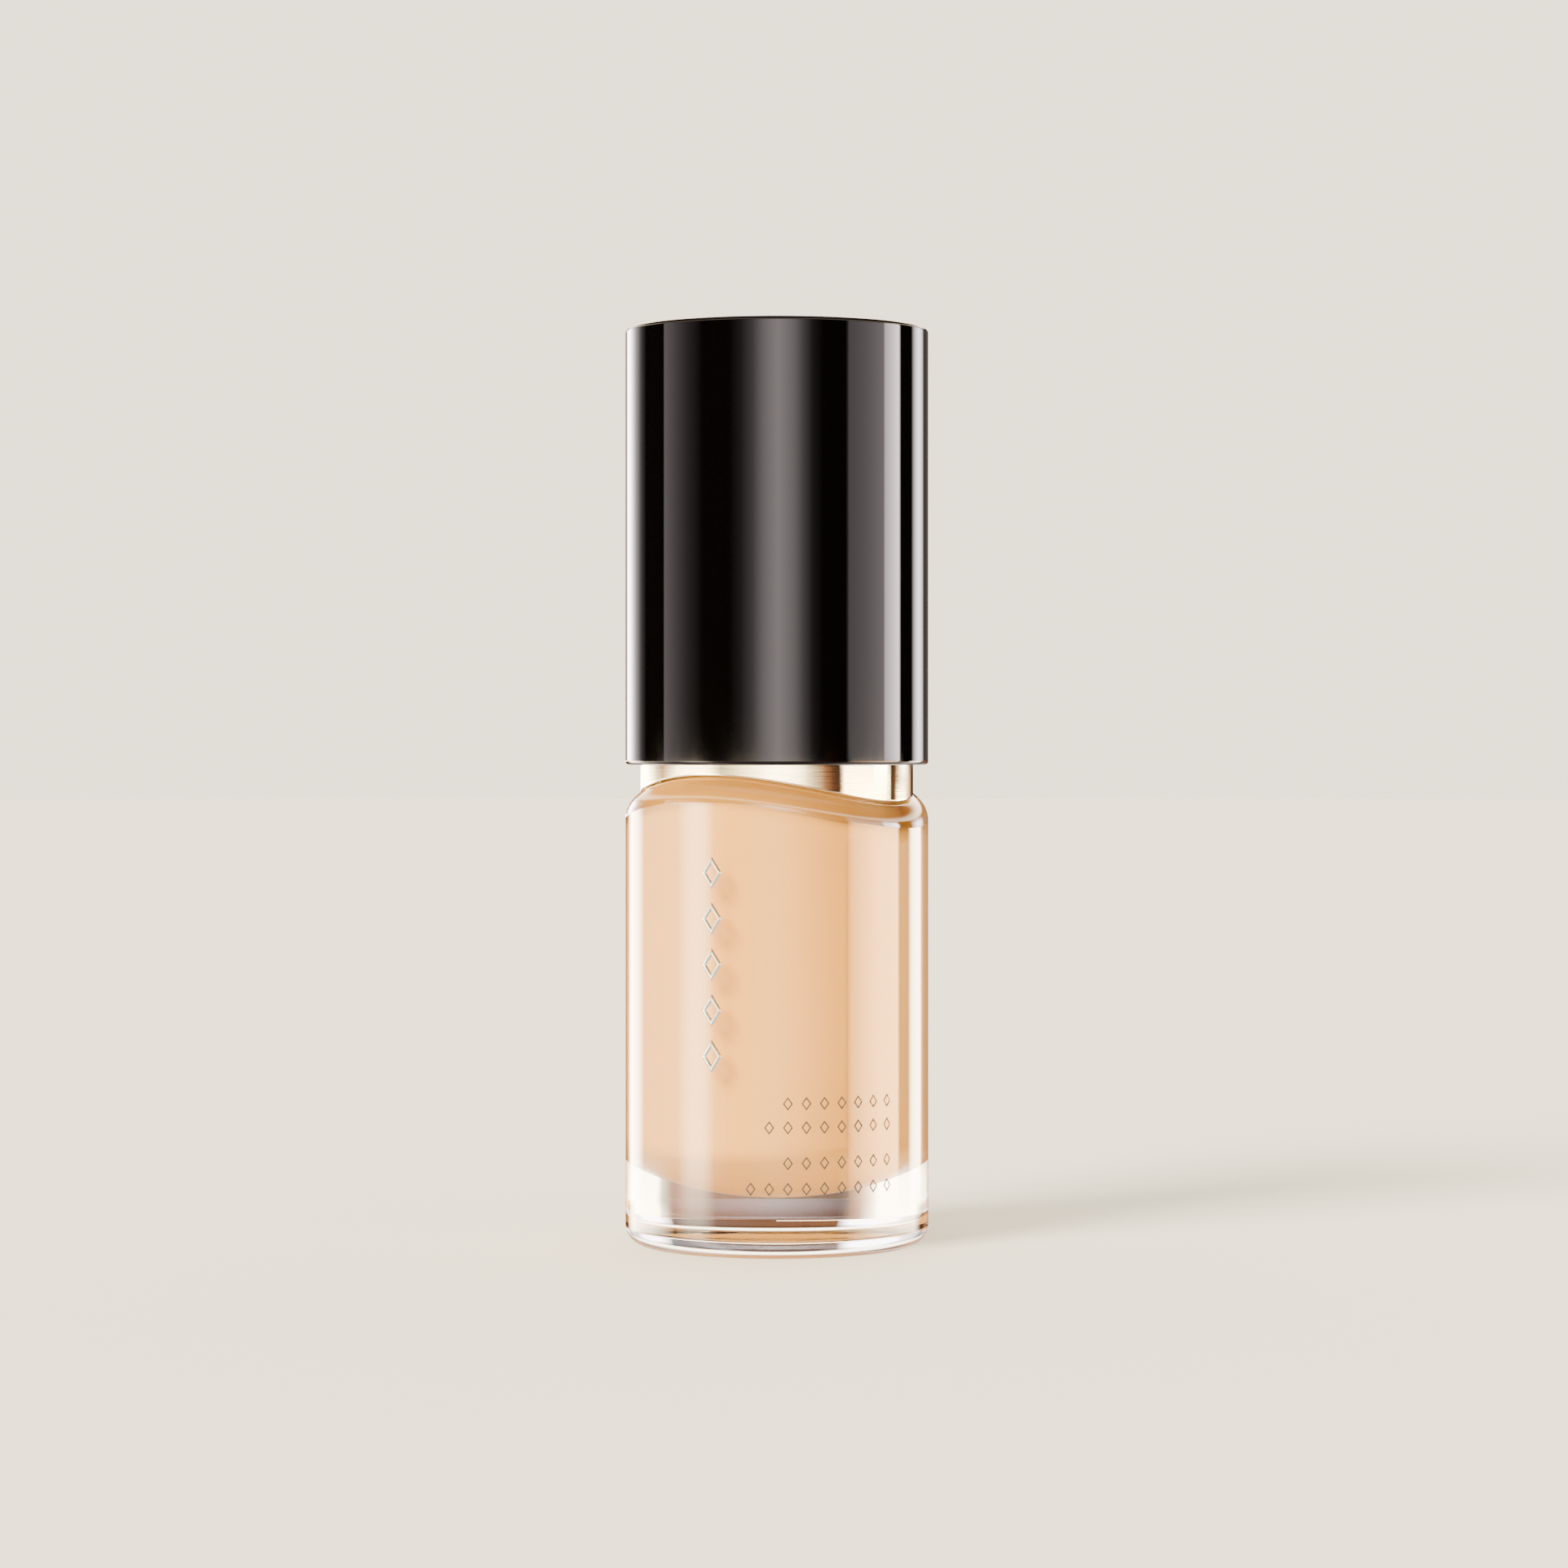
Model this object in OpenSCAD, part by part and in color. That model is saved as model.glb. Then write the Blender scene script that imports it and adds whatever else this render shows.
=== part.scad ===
// Foundation bottle: thick-walled glass bottle with a waved shoulder, treatment pump,
// gold collar and tall gloss overcap. Millimetres, +Z up, origin on the axis at the standing ring.

/* [Bottle] */
// Outside radius of the glass body and of the overcap
body_r = 18; // [17:0.5:19]
// Thickness of the glass wall
glass_wall = 2.6; // [2.2:0.1:3]
// Height of the shoulder where its wave is highest
crest_z = 55.4; // [54.8:0.1:56]
// Height of the wave from its lowest to its highest point
wave_h = 3.1; // [1:0.1:3.4]
// Height of the inside bottom above the standing ring
bowl_z = 6.1; // [5:0.1:8]

/* [Collar] */
// How far the gold collar stands in from the glass body's outside
collar_inset = 1.8; // [1.7:0.05:2]
// Height of the collar's flat top
collar_top_z = 64; // [63:0.5:65]

/* [Overcap] */
// Height of the overcap's rim above the standing ring
cap_rim_z = 56.9; // [56.5:0.1:57.5]
// Height of the overcap's top above the standing ring
cap_top_z = 108.5; // [108:0.5:112]

/* [Pump] */
// How far the pump head travels when it is pressed
stroke = 4; // [3:0.5:4]
// Height of the pump head's top at rest
head_top_z = 97; // [95:0.5:98]

/* [Neck thread] */
// Rise of the thread in one turn
thread_pitch = 3.175; // [3:0.005:3.2]
// Turns of thread on the neck
thread_turns = 1.5; // [1:0.25:1.5]

/* [Hidden] */
$fn = 96;
eps = 0.01;

// collar and shoulder wave: the shoulder line is the cut of a wide horizontal cylinder through the collar
collar_r = body_r - collar_inset;
crest_azimuth = 240;
wave_r = (pow(collar_r, 2) + pow(wave_h, 2)) / (2 * wave_h);
facets = 72;
shoulder_round = 2.9;
shoulder_start_z = crest_z - wave_h - 3.2;
deck_z = 56.4;
deck_r = 12.5;

// base
heel_r = 2.4;
push_up_r = 13.4;
push_up_h = 0.9;

// cavity
cavity_r = body_r - glass_wall;
bowl_r = 24;
roof_t = 2.85;
roof_round = 1.9;
cavity_step_z = shoulder_start_z - 3;
flat_roof_r = 11.5;
fill_z = 55;

// neck
neck_r = 8.95;
neck_bore_r = 6.4;
neck_top_z = 66.6;
bead_r = 9.9;
bead_z = 58.4;
bead_round = 0.4;
thread_crest_r = 9.8;
thread_z = 60.4;
thread_root_w = 1.3;
thread_crest_w = 0.5;
thread_drop = 0.95;
thread_fade = 30;

// collar
collar_t = 0.5;
collar_gap = 0.25;
collar_hole_r = 12.5;
carrier_floor_z = deck_z + 0.05;

// closure
closure_r = 12;
closure_wall_r = 10.05;
closure_crest_r = 9.15;
closure_bottom_z = 59.1;
closure_top_z = 69.6;
closure_roof_z = 68.35;
closure_hole_r = 6.9;
flutes = 48;

// pump engine
gasket_t = 0.7;
gasket_gap = 0.02;
flange_z = neck_top_z + gasket_t;
flange_t = 1;
flange_r = 9.4;
flange_top_z = flange_z + flange_t;
housing_r = 5.2;
pocket_r = 5.2;
pocket_z = 61.5;
piston_bore_r = 4.1;
spring_seat_z = 43.5;
ball_r = 1.75;
ball_z = 39;
socket_r = 1.62;
socket_z = 30.5;
socket_top_z = 36.2;
tube_bore_r = 1;
tube_bottom_z = 8.4;
stem_r = 2.2;
stem_bore_r = 1.2;
stem_top_z = 84;
valve_head_r = 3.3;
valve_head_z = 53.9;
valve_head_t = 1.4;
turret_r = 6.4;
turret_top_z = 74.3;

// pump head
head_r = 9.6;
head_shell_t = 1;
head_bottom_z = 73.8;
head_cavity_z = turret_top_z + stroke + 0.3;
nozzle_z = 88;
nozzle_tip = body_r - 4.6;
nozzle_bore_r = 0.9;
nozzle_spigot_r = 1.9;
nozzle_root_r = 2.6;
nozzle_tip_r = 2;

// overcap
cap_wall = 1;
cap_roof = 1.7;
cap_edge_round = 0.35;
liner_skirt_r = collar_r + 0.3;
liner_step_z = 71;
liner_tube_r = body_r - 3.6;
liner_tube_wall = 0.8;
liner_top_z = cap_top_z - cap_roof - 2;
liner_ribs = 8;
weight_r = 13;
weight_t = 1.8;

// marks on the glass
emblem_angle = -24.6;
emblem_w = 2.6;
emblem_h = 3.8;
emblem_line = 0.5;
emblem_t = 0.15;
emblem_top_z = 44.5;
emblem_pitch = 5.28;
emblem_count = 5;
mark_right_angle = 47;
mark_w = 1.15;
mark_h = 1.55;
mark_line = 0.14;
mark_t = 0.04;
mark_pitch = 2.15;
// each printed row: height above the ring and number of marks, counted from the right edge
mark_rows = [[18.05, 7], [15.3, 8], [11.2, 7], [8.25, 9]];

// ---- shapes shared by several parts ----

function wave_drop(u) = wave_r - sqrt(pow(wave_r, 2) - pow(u, 2));
function shoulder_z(a) = crest_z - wave_drop(collar_r * sin(a - crest_azimuth));
function smooth(t) = t * t * (3 - 2 * t);
function mix(a, b, t) = a + (b - a) * t;
function azimuth(i) = 360 * i / facets;

// arc of a quarter round, from the wall (t = 0) to the flat above it (t = 1)
function round_r(r, rr, t) = r - rr + rr * cos(90 * t);
function round_z(z, rr, t) = z + rr * sin(90 * t);

// Closed lump from rings of points: ring(k) gives [r, z] at azimuth a
module ring_lump(rings) {
    n = len(rings);
    points = concat(
        [for (k = [0:n - 1]) for (i = [0:facets - 1])
            [rings[k][i][0] * cos(azimuth(i)), rings[k][i][0] * sin(azimuth(i)), rings[k][i][1]]]
    );
    sides = [for (k = [0:n - 2]) for (i = [0:facets - 1]) for (half = [0, 1])
        let (j = (i + 1) % facets, a = k * facets, b = (k + 1) * facets)
        half == 0 ? [a + i, b + i, b + j] : [a + i, b + j, a + j]];
    bottom = [[for (i = [0:facets - 1]) i]];
    top = [[for (i = [facets - 1:-1:0]) (n - 1) * facets + i]];
    polyhedron(points = points, faces = concat(sides, bottom, top), convexity = 6);
}

// Waved lump: a wall of radius r from z0, a quarter round of radius rr, then a blend in to a flat
// roof of height flat_z at radius flat_r. lift is added to the shoulder line.
module waved_lump(r, z0, rr, lift, flat_r, flat_z) {
    round_steps = 6;
    blend_steps = 4;
    rings = concat(
        [[for (i = [0:facets - 1]) [r, z0]]],
        [for (s = [0:round_steps]) [for (i = [0:facets - 1])
            [round_r(r, rr, s / round_steps),
             round_z(shoulder_z(azimuth(i)) + lift - rr, rr, s / round_steps)]]],
        [for (s = [1:blend_steps]) [for (i = [0:facets - 1])
            [mix(r - rr, flat_r, s / blend_steps),
             mix(shoulder_z(azimuth(i)) + lift, flat_z, smooth(s / blend_steps))]]]
    );
    ring_lump(rings);
}

// Trapezoid thread ridge: base_r is buried in the wall that carries it, crest_r stands in the gap
module thread_ridge(base_r, crest_r, from_turn, to_turn) {
    step = 10;
    first = from_turn * 360;
    last = to_turn * 360;
    n = round((last - first) / step);
    bury = crest_r > base_r ? 0.15 : -0.15;
    function fade(a) = max(0, min(1, (a - first) / thread_fade, (last - a) / thread_fade));
    points = [for (i = [0:n])
        let (
            a = first + i * step,
            z = thread_pitch * a / 360,
            r = mix(base_r - bury / 3, crest_r, fade(a))
        )
        each [
            for (p = [[base_r - bury, -thread_root_w / 2], [r, -thread_crest_w / 2],
                      [r, thread_crest_w / 2], [base_r - bury, thread_root_w / 2]])
            [p[0] * cos(a), p[0] * sin(a), z + p[1]]
        ]];
    outward = crest_r > base_r;
    sides = [for (i = [0:n - 1]) for (k = [0:3]) for (half = [0, 1])
        let (a = 4 * i + k, b = 4 * i + (k + 1) % 4, c = b + 4, d = a + 4)
        half == 0 ? [a, b, c] : [a, c, d]];
    ends = [[3, 2, 1], [3, 1, 0], [4 * n, 4 * n + 1, 4 * n + 2], [4 * n, 4 * n + 2, 4 * n + 3]];
    faces = concat(sides, ends);
    polyhedron(
        points = points,
        faces = outward ? faces : [for (f = faces) [f[2], f[1], f[0]]],
        convexity = 6
    );
}

// Square corner of a turned profile with its outer edge rounded to radius rr
module round_edge(r, z, rr, up) {
    translate([r - rr, up ? z - rr : z + rr]) circle(r = rr, $fn = 48);
}

// Turned part from a closed list of [r, z] points
module turned(points) {
    rotate_extrude() polygon(points);
}

// Ring with flat ends
module ring(inner, outer, z0, z1) {
    turned([[inner, z0], [outer, z0], [outer, z1], [inner, z1]]);
}

// Patch of a thin band on the glass, centred at an angle from the front and a height
module patch(angle, z, thickness) {
    intersection() {
        ring(body_r, body_r + thickness, 2, shoulder_start_z);
        rotate([0, 0, angle]) translate([0, -body_r / 2, z]) rotate([90, 0, 0])
            linear_extrude(body_r) children();
    }
}

// Passage for the pump that the liquid leaves: it grows upwards, so the pump can lift straight out
module pump_passage() {
    passage_gap = 0.3;
    turned([
        [0, tube_bottom_z - passage_gap],
        [socket_r + passage_gap, tube_bottom_z - passage_gap],
        [socket_r + passage_gap, socket_z - passage_gap],
        [2.7 + passage_gap, socket_z - passage_gap],
        [2.7 + passage_gap, 36.3], [3.6 + passage_gap, 37.2],
        [3.6 + passage_gap, 39.7], [housing_r + passage_gap, 41.7],
        [housing_r + passage_gap, fill_z + 1], [0, fill_z + 1]
    ]);
}

// ---- glass and what it holds ----

module body_outline() {
    intersection() {
        union() {
            square([body_r - heel_r, heel_r + eps]);
            translate([0, heel_r]) square([body_r, shoulder_start_z - heel_r]);
            translate([body_r - heel_r, heel_r]) circle(r = heel_r, $fn = 96);
        }
        square([body_r, shoulder_start_z]);
    }
}

module push_up() {
    dome_r = (pow(push_up_r, 2) + pow(push_up_h, 2)) / (2 * push_up_h);
    intersection() {
        translate([0, 0, push_up_h - dome_r]) sphere(r = dome_r, $fn = 200);
        translate([0, 0, -1]) cylinder(r = push_up_r + 1, h = 3);
    }
}

module lower_cavity() {
    rotate_extrude() intersection() {
        union() {
            translate([0, bowl_z + bowl_r]) circle(r = bowl_r, $fn = 200);
            translate([0, bowl_z + bowl_r]) square([cavity_r, cavity_step_z - bowl_z - bowl_r]);
        }
        translate([0, bowl_z - 1]) square([cavity_r, cavity_step_z - bowl_z + 1]);
    }
}

module upper_cavity() {
    waved_lump(cavity_r - 0.005, cavity_step_z - 0.5, roof_round, -roof_t, flat_roof_r, deck_z - roof_t);
}

module neck() {
    translate([0, 0, deck_z - 4]) cylinder(r = neck_r, h = neck_top_z - deck_z + 4);
    rotate_extrude() {
        translate([bead_r - bead_round, bead_z]) circle(r = bead_round, $fn = 32);
        translate([neck_r - 1, bead_z - bead_round])
            square([bead_r - bead_round - neck_r + 1, 2 * bead_round]);
    }
    translate([0, 0, thread_z]) thread_ridge(neck_r, thread_crest_r, 0, thread_turns);
}

module glass_bottle() {
    color([0.93, 0.95, 0.94, 0.35]) difference() {
        union() {
            rotate_extrude() body_outline();
            waved_lump(body_r - 0.005, shoulder_start_z - 0.5, shoulder_round, 0.19, deck_r, deck_z);
            neck();
        }
        push_up();
        lower_cavity();
        upper_cavity();
        translate([0, 0, deck_z - 6]) cylinder(r = neck_bore_r, h = neck_top_z - deck_z + 7);
    }
}

module foundation_liquid() {
    color([0.93, 0.76, 0.60]) difference() {
        union() {
            lower_cavity();
            upper_cavity();
            translate([0, 0, deck_z - 6]) cylinder(r = neck_bore_r, h = fill_z - deck_z + 6);
        }
        pump_passage();
    }
}

// Open lozenge with a line of even width
module lozenge(w, h, stroke) {
    half = [w / 2, h / 2];
    slope = norm(half);
    inner = [half[0] - stroke * slope / half[1], half[1] - stroke * slope / half[0]];
    difference() {
        polygon([[half[0], 0], [0, half[1]], [-half[0], 0], [0, -half[1]]]);
        polygon([[inner[0], 0], [0, inner[1]], [-inner[0], 0], [0, -inner[1]]]);
    }
}

// column of open lozenges, raised foil
module foil_emblem() {
    color([0.87, 0.88, 0.84]) for (k = [0:emblem_count - 1])
        patch(emblem_angle, emblem_top_z - k * emblem_pitch, emblem_t)
            lozenge(emblem_w, emblem_h, emblem_line);
}

// rows of small fine lozenges that end on one vertical line
module printed_marks() {
    step_angle = mark_pitch / body_r * 180 / PI;
    last_angle = mark_right_angle - mark_w / 2 / body_r * 180 / PI;
    color([0.62, 0.60, 0.57]) for (row = mark_rows) for (k = [0:row[1] - 1])
        patch(last_angle - k * step_angle, row[0], mark_t) lozenge(mark_w, mark_h, mark_line);
}

// ---- collar ----

module wave_cutter(lift) {
    rotate([0, 0, crest_azimuth]) translate([-40, 0, crest_z + lift - wave_r]) rotate([0, 90, 0])
        cylinder(r = wave_r, h = 80, $fn = 200);
}

module gold_collar() {
    color([0.89, 0.80, 0.60]) difference() {
        union() {
            ring(collar_r - collar_t, collar_r, crest_z - wave_h - 1, collar_top_z - 0.3);
            rotate_extrude() intersection() {
                union() {
                    translate([collar_hole_r, collar_top_z - collar_t])
                        square([collar_r - 0.4 - collar_hole_r, collar_t]);
                    round_edge(collar_r, collar_top_z, 0.4, true);
                    translate([collar_r - collar_t, collar_top_z - 1]) square([collar_t, 0.6]);
                }
                square([collar_r, collar_top_z]);
            }
        }
        wave_cutter(collar_gap);
    }
}

module collar_carrier() {
    outer = collar_r - collar_t;
    top = collar_top_z - collar_t;
    hub_r = 11.2;
    color([0.12, 0.11, 0.11]) turned([
        [neck_r + 0.08, carrier_floor_z], [outer, carrier_floor_z], [outer, top],
        [closure_r + 0.6, top], [closure_r + 0.6, top - 1], [outer - 1, top - 1],
        [outer - 1, carrier_floor_z + 1], [hub_r, carrier_floor_z + 1],
        [hub_r, bead_z - bead_round - 0.1], [neck_r + 0.08, bead_z - bead_round - 0.1]
    ]);
}

// ---- overcap ----

module cap_shell() {
    inner = body_r - cap_wall;
    roof_z = cap_top_z - cap_roof;
    color([0.06, 0.055, 0.055]) rotate_extrude() difference() {
        union() {
            translate([0, cap_rim_z + cap_edge_round])
                square([body_r, cap_top_z - cap_rim_z - 2 * cap_edge_round]);
            translate([0, cap_rim_z]) square([body_r - cap_edge_round, cap_top_z - cap_rim_z]);
            round_edge(body_r, cap_top_z, cap_edge_round, true);
            round_edge(body_r, cap_rim_z, cap_edge_round, false);
        }
        translate([-eps, cap_rim_z - 1]) square([inner + eps, roof_z - cap_rim_z + 1]);
    }
}

module cap_liner() {
    outer = body_r - cap_wall;
    tube_out = liner_tube_r + liner_tube_wall;
    bottom = cap_rim_z + 0.25;
    grip_z = collar_top_z - 2.2;
    roof_in = liner_top_z - 1;
    color([0.16, 0.15, 0.15]) union() {
        turned([
            [liner_skirt_r + 0.12, bottom], [outer, bottom], [outer, liner_step_z],
            [tube_out, liner_step_z + 0.8], [tube_out, liner_top_z], [0, liner_top_z],
            [0, roof_in], [liner_tube_r, roof_in], [liner_tube_r, liner_step_z - 0.4],
            [liner_skirt_r, liner_step_z - 1.2], [liner_skirt_r, grip_z + 0.5],
            [collar_r + 0.08, grip_z + 0.15], [collar_r + 0.08, grip_z - 0.15],
            [liner_skirt_r, grip_z - 0.5], [liner_skirt_r, bottom + 0.4]
        ]);
        for (k = [0:liner_ribs - 1]) rotate([0, 0, 360 * k / liner_ribs])
            translate([tube_out - 0.3, -0.4, liner_step_z + 0.2])
                cube([outer - tube_out + 0.2, 0.8, liner_top_z - liner_step_z - 2]);
    }
}

module cap_weight() {
    color([0.55, 0.56, 0.58]) difference() {
        translate([0, 0, liner_top_z]) cylinder(r = weight_r, h = weight_t);
        translate([0, 0, liner_top_z - 1]) cylinder(r = 3, h = weight_t + 2);
    }
}

// ---- closure and pump ----

module screw_closure() {
    thread_low = thread_z - thread_drop;
    color([0.07, 0.065, 0.065]) difference() {
        union() {
            rotate_extrude() difference() {
                union() {
                    translate([0, closure_bottom_z])
                        square([closure_r, closure_top_z - closure_bottom_z - 0.4]);
                    translate([0, closure_bottom_z])
                        square([closure_r - 0.4, closure_top_z - closure_bottom_z]);
                    round_edge(closure_r, closure_top_z, 0.4, true);
                }
                translate([-1, closure_bottom_z - 1])
                    square([closure_wall_r + 1, closure_roof_z - closure_bottom_z + 1]);
            }
            translate([0, 0, thread_low]) thread_ridge(closure_wall_r, closure_crest_r, 0.25, thread_turns);
        }
        translate([0, 0, closure_roof_z - 1]) cylinder(r = closure_hole_r, h = 4);
        for (k = [0:flutes - 1]) rotate([0, 0, 360 * k / flutes])
            translate([closure_r + 0.15, 0, collar_top_z + 0.9])
                cylinder(r = 0.4, h = closure_top_z - collar_top_z - 2, $fn = 24);
    }
}

module pump_housing() {
    color([0.93, 0.93, 0.91]) turned([
        [flange_r, flange_z], [flange_r, flange_top_z], [pocket_r + 0.02, flange_top_z],
        [pocket_r + 0.02, pocket_z], [piston_bore_r, pocket_z], [piston_bore_r, spring_seat_z],
        [1.45, spring_seat_z], [1.45, spring_seat_z - 0.9], [2.3, spring_seat_z - 0.9],
        [2.3, 38.8], [1.1, 37.6], [1.1, socket_top_z], [socket_r, socket_top_z],
        [socket_r, socket_z], [2.7, socket_z], [2.7, 36.6], [3.6, 37.5], [3.6, 40],
        [housing_r, 42], [housing_r, 59.6], [6.1, 60.5], [6.1, flange_z]
    ]);
}

module neck_gasket() {
    color([0.96, 0.96, 0.94]) ring(6.5, flange_r, neck_top_z + gasket_gap, flange_z);
}

module turret() {
    color([0.93, 0.93, 0.91]) turned([
        [stem_r + 0.08, pocket_z], [pocket_r, pocket_z], [pocket_r, flange_top_z],
        [turret_r, flange_top_z], [turret_r, turret_top_z - 0.4], [turret_r - 0.4, turret_top_z],
        [4.2, turret_top_z], [4.2, pocket_z + 2], [stem_r + 0.08, pocket_z + 2]
    ]);
}

module dip_tube() {
    color([0.95, 0.95, 0.95]) difference() {
        ring(tube_bore_r, socket_r - 0.02, tube_bottom_z, socket_top_z);
        translate([-socket_r, -3, tube_bottom_z]) rotate([0, -20, 0]) translate([-1, 0, -4])
            cube([8, 6, 4]);
    }
}

// compression spring between the housing's ledge and the stem's valve head
module return_spring() {
    wire_r = 0.35;
    coil_r = 2.9;
    sides = 8;
    per_turn = 20;
    dead_turns = 1;
    live_turns = 5;
    dead_pitch = 2 * wire_r + 0.06;
    low = spring_seat_z + wire_r + 0.02;
    high = valve_head_z - wire_r - 0.02;
    live_pitch = (high - low - 2 * dead_turns * dead_pitch) / live_turns;
    turns = live_turns + 2 * dead_turns;
    n = turns * per_turn;
    function rise(t) = t < dead_turns ? t * dead_pitch
        : t < dead_turns + live_turns ? dead_turns * dead_pitch + (t - dead_turns) * live_pitch
        : high - low - (turns - t) * dead_pitch;
    points = [for (i = [0:n]) for (k = [0:sides - 1])
        let (a = 360 * i / per_turn, b = 360 * k / sides, r = coil_r + wire_r * cos(b))
        [r * cos(a), r * sin(a), low + rise(i / per_turn) + wire_r * sin(b)]];
    faces = concat(
        [for (i = [0:n - 1]) for (k = [0:sides - 1]) for (half = [0, 1])
            let (a = sides * i + k, b = sides * i + (k + 1) % sides, c = b + sides, d = a + sides)
            half == 0 ? [a, b, c] : [a, c, d]],
        [[for (k = [sides - 1:-1:0]) k]],
        [[for (k = [0:sides - 1]) sides * n + k]]
    );
    color([0.75, 0.76, 0.78]) polyhedron(points = points, faces = faces, convexity = 10);
}

module inlet_ball() {
    color([0.85, 0.85, 0.87]) translate([0, 0, ball_z]) sphere(r = ball_r);
}

module piston_seal() {
    low = valve_head_z + valve_head_t + 0.05;
    lip_r = piston_bore_r - 0.04;
    color([0.96, 0.96, 0.93]) turned([
        [stem_r + 0.05, low], [3.1, low], [3.1, low + 1.9], [lip_r - 0.5, low + 1.9],
        [lip_r - 0.45, low + 0.2], [lip_r, low + 0.1], [lip_r - 0.12, low + 2.2],
        [lip_r, low + 4.4], [lip_r - 0.45, low + 4.3], [lip_r - 0.5, low + 2.7],
        [3.1, low + 2.7], [3.1, low + 4.9], [stem_r + 0.05, low + 4.9]
    ]);
}

module pump_stem() {
    bore_z = valve_head_z + valve_head_t + 0.3;
    color([0.93, 0.93, 0.91]) difference() {
        union() {
            translate([0, 0, valve_head_z]) cylinder(r = valve_head_r, h = valve_head_t);
            translate([0, 0, valve_head_z]) cylinder(r = stem_r, h = stem_top_z - valve_head_z);
        }
        translate([0, 0, bore_z]) cylinder(r = stem_bore_r, h = stem_top_z);
        for (a = [0, 90]) translate([0, 0, bore_z + 0.7]) rotate([0, 90, a])
            cylinder(r = 0.5, h = 6, center = true, $fn = 32);
    }
}

// ---- pump head ----

module actuator_core() {
    outer = head_r - head_shell_t;
    top = head_top_z - 1.2;
    hub_r = 3.6;
    hub_z = turret_top_z + 0.7;
    color([0.10, 0.09, 0.09]) difference() {
        translate([0, 0, head_bottom_z + 0.4]) cylinder(r = outer, h = top - head_bottom_z - 0.4);
        translate([0, 0, head_bottom_z - 1]) ring(hub_r, turret_r + 0.4, 0, head_cavity_z - head_bottom_z + 1);
        translate([0, 0, head_bottom_z - 1]) cylinder(r = hub_r + eps, h = hub_z - head_bottom_z + 1);
        translate([0, 0, hub_z - 1]) cylinder(r = stem_r, h = stem_top_z - hub_z + 1);
        translate([0, 0, stem_top_z - 1]) cylinder(r = stem_bore_r, h = nozzle_z - stem_top_z + 1);
        translate([0, 0, nozzle_z]) rotate([90, 0, 0]) cylinder(r = stem_bore_r, h = outer);
        translate([0, -4.5, nozzle_z]) rotate([90, 0, 0]) cylinder(r = nozzle_spigot_r, h = outer);
    }
}

module actuator_shell() {
    inner = head_r - head_shell_t;
    color([0.06, 0.055, 0.055]) difference() {
        rotate_extrude() difference() {
            union() {
                translate([0, head_bottom_z]) square([head_r, head_top_z - head_bottom_z - 0.8]);
                translate([0, head_bottom_z]) square([head_r - 0.8, head_top_z - head_bottom_z]);
                round_edge(head_r, head_top_z, 0.8, true);
            }
            translate([-1, head_bottom_z - 1]) square([inner + 1, head_top_z - 1.2 - head_bottom_z + 1]);
        }
        translate([0, 0, nozzle_z]) rotate([90, 0, 0]) cylinder(r = nozzle_root_r, h = 20);
    }
}

// spout: spigot in the core's socket, cone outside the shell
module nozzle_spout() {
    root = head_r - head_shell_t;
    color([0.06, 0.055, 0.055]) translate([0, 0, nozzle_z]) rotate([90, 0, 0]) turned([
        [nozzle_bore_r + 0.3, 4.8], [nozzle_spigot_r, 4.8], [nozzle_spigot_r, root],
        [nozzle_root_r - 0.01, root], [nozzle_root_r - 0.01, head_r + 0.3],
        [nozzle_tip_r, nozzle_tip - 0.3], [nozzle_tip_r - 0.3, nozzle_tip],
        [nozzle_bore_r, nozzle_tip], [nozzle_bore_r, head_r + 1], [nozzle_bore_r + 0.3, head_r]
    ]);
}

glass_bottle();
foundation_liquid();
foil_emblem();
printed_marks();
gold_collar();
collar_carrier();
cap_shell();
cap_liner();
cap_weight();
screw_closure();
pump_housing();
neck_gasket();
turret();
dip_tube();
return_spring();
inlet_ball();
piston_seal();
pump_stem();
actuator_core();
actuator_shell();
nozzle_spout();
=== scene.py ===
"""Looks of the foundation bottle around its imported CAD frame.

Profiles are written in millimetres, and meshes are built in metres.
"""

import math

import bpy
from mathutils import Matrix, Vector


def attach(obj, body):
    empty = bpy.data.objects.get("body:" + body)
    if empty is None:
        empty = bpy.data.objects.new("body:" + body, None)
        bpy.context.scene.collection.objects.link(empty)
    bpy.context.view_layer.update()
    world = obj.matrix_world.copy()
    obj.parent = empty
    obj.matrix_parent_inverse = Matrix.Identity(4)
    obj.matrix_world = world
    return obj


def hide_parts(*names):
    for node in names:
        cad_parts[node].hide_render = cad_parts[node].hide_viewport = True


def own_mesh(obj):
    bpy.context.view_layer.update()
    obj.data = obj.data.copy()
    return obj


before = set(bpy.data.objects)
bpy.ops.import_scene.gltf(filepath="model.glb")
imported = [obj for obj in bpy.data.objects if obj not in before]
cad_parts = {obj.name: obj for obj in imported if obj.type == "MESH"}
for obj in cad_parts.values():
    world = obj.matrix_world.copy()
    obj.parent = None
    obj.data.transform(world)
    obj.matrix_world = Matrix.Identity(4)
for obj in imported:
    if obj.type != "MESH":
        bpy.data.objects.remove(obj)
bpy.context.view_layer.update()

MM = 0.001
SEGMENTS = 240

# ---- sizes shared with the CAD ----

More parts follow.
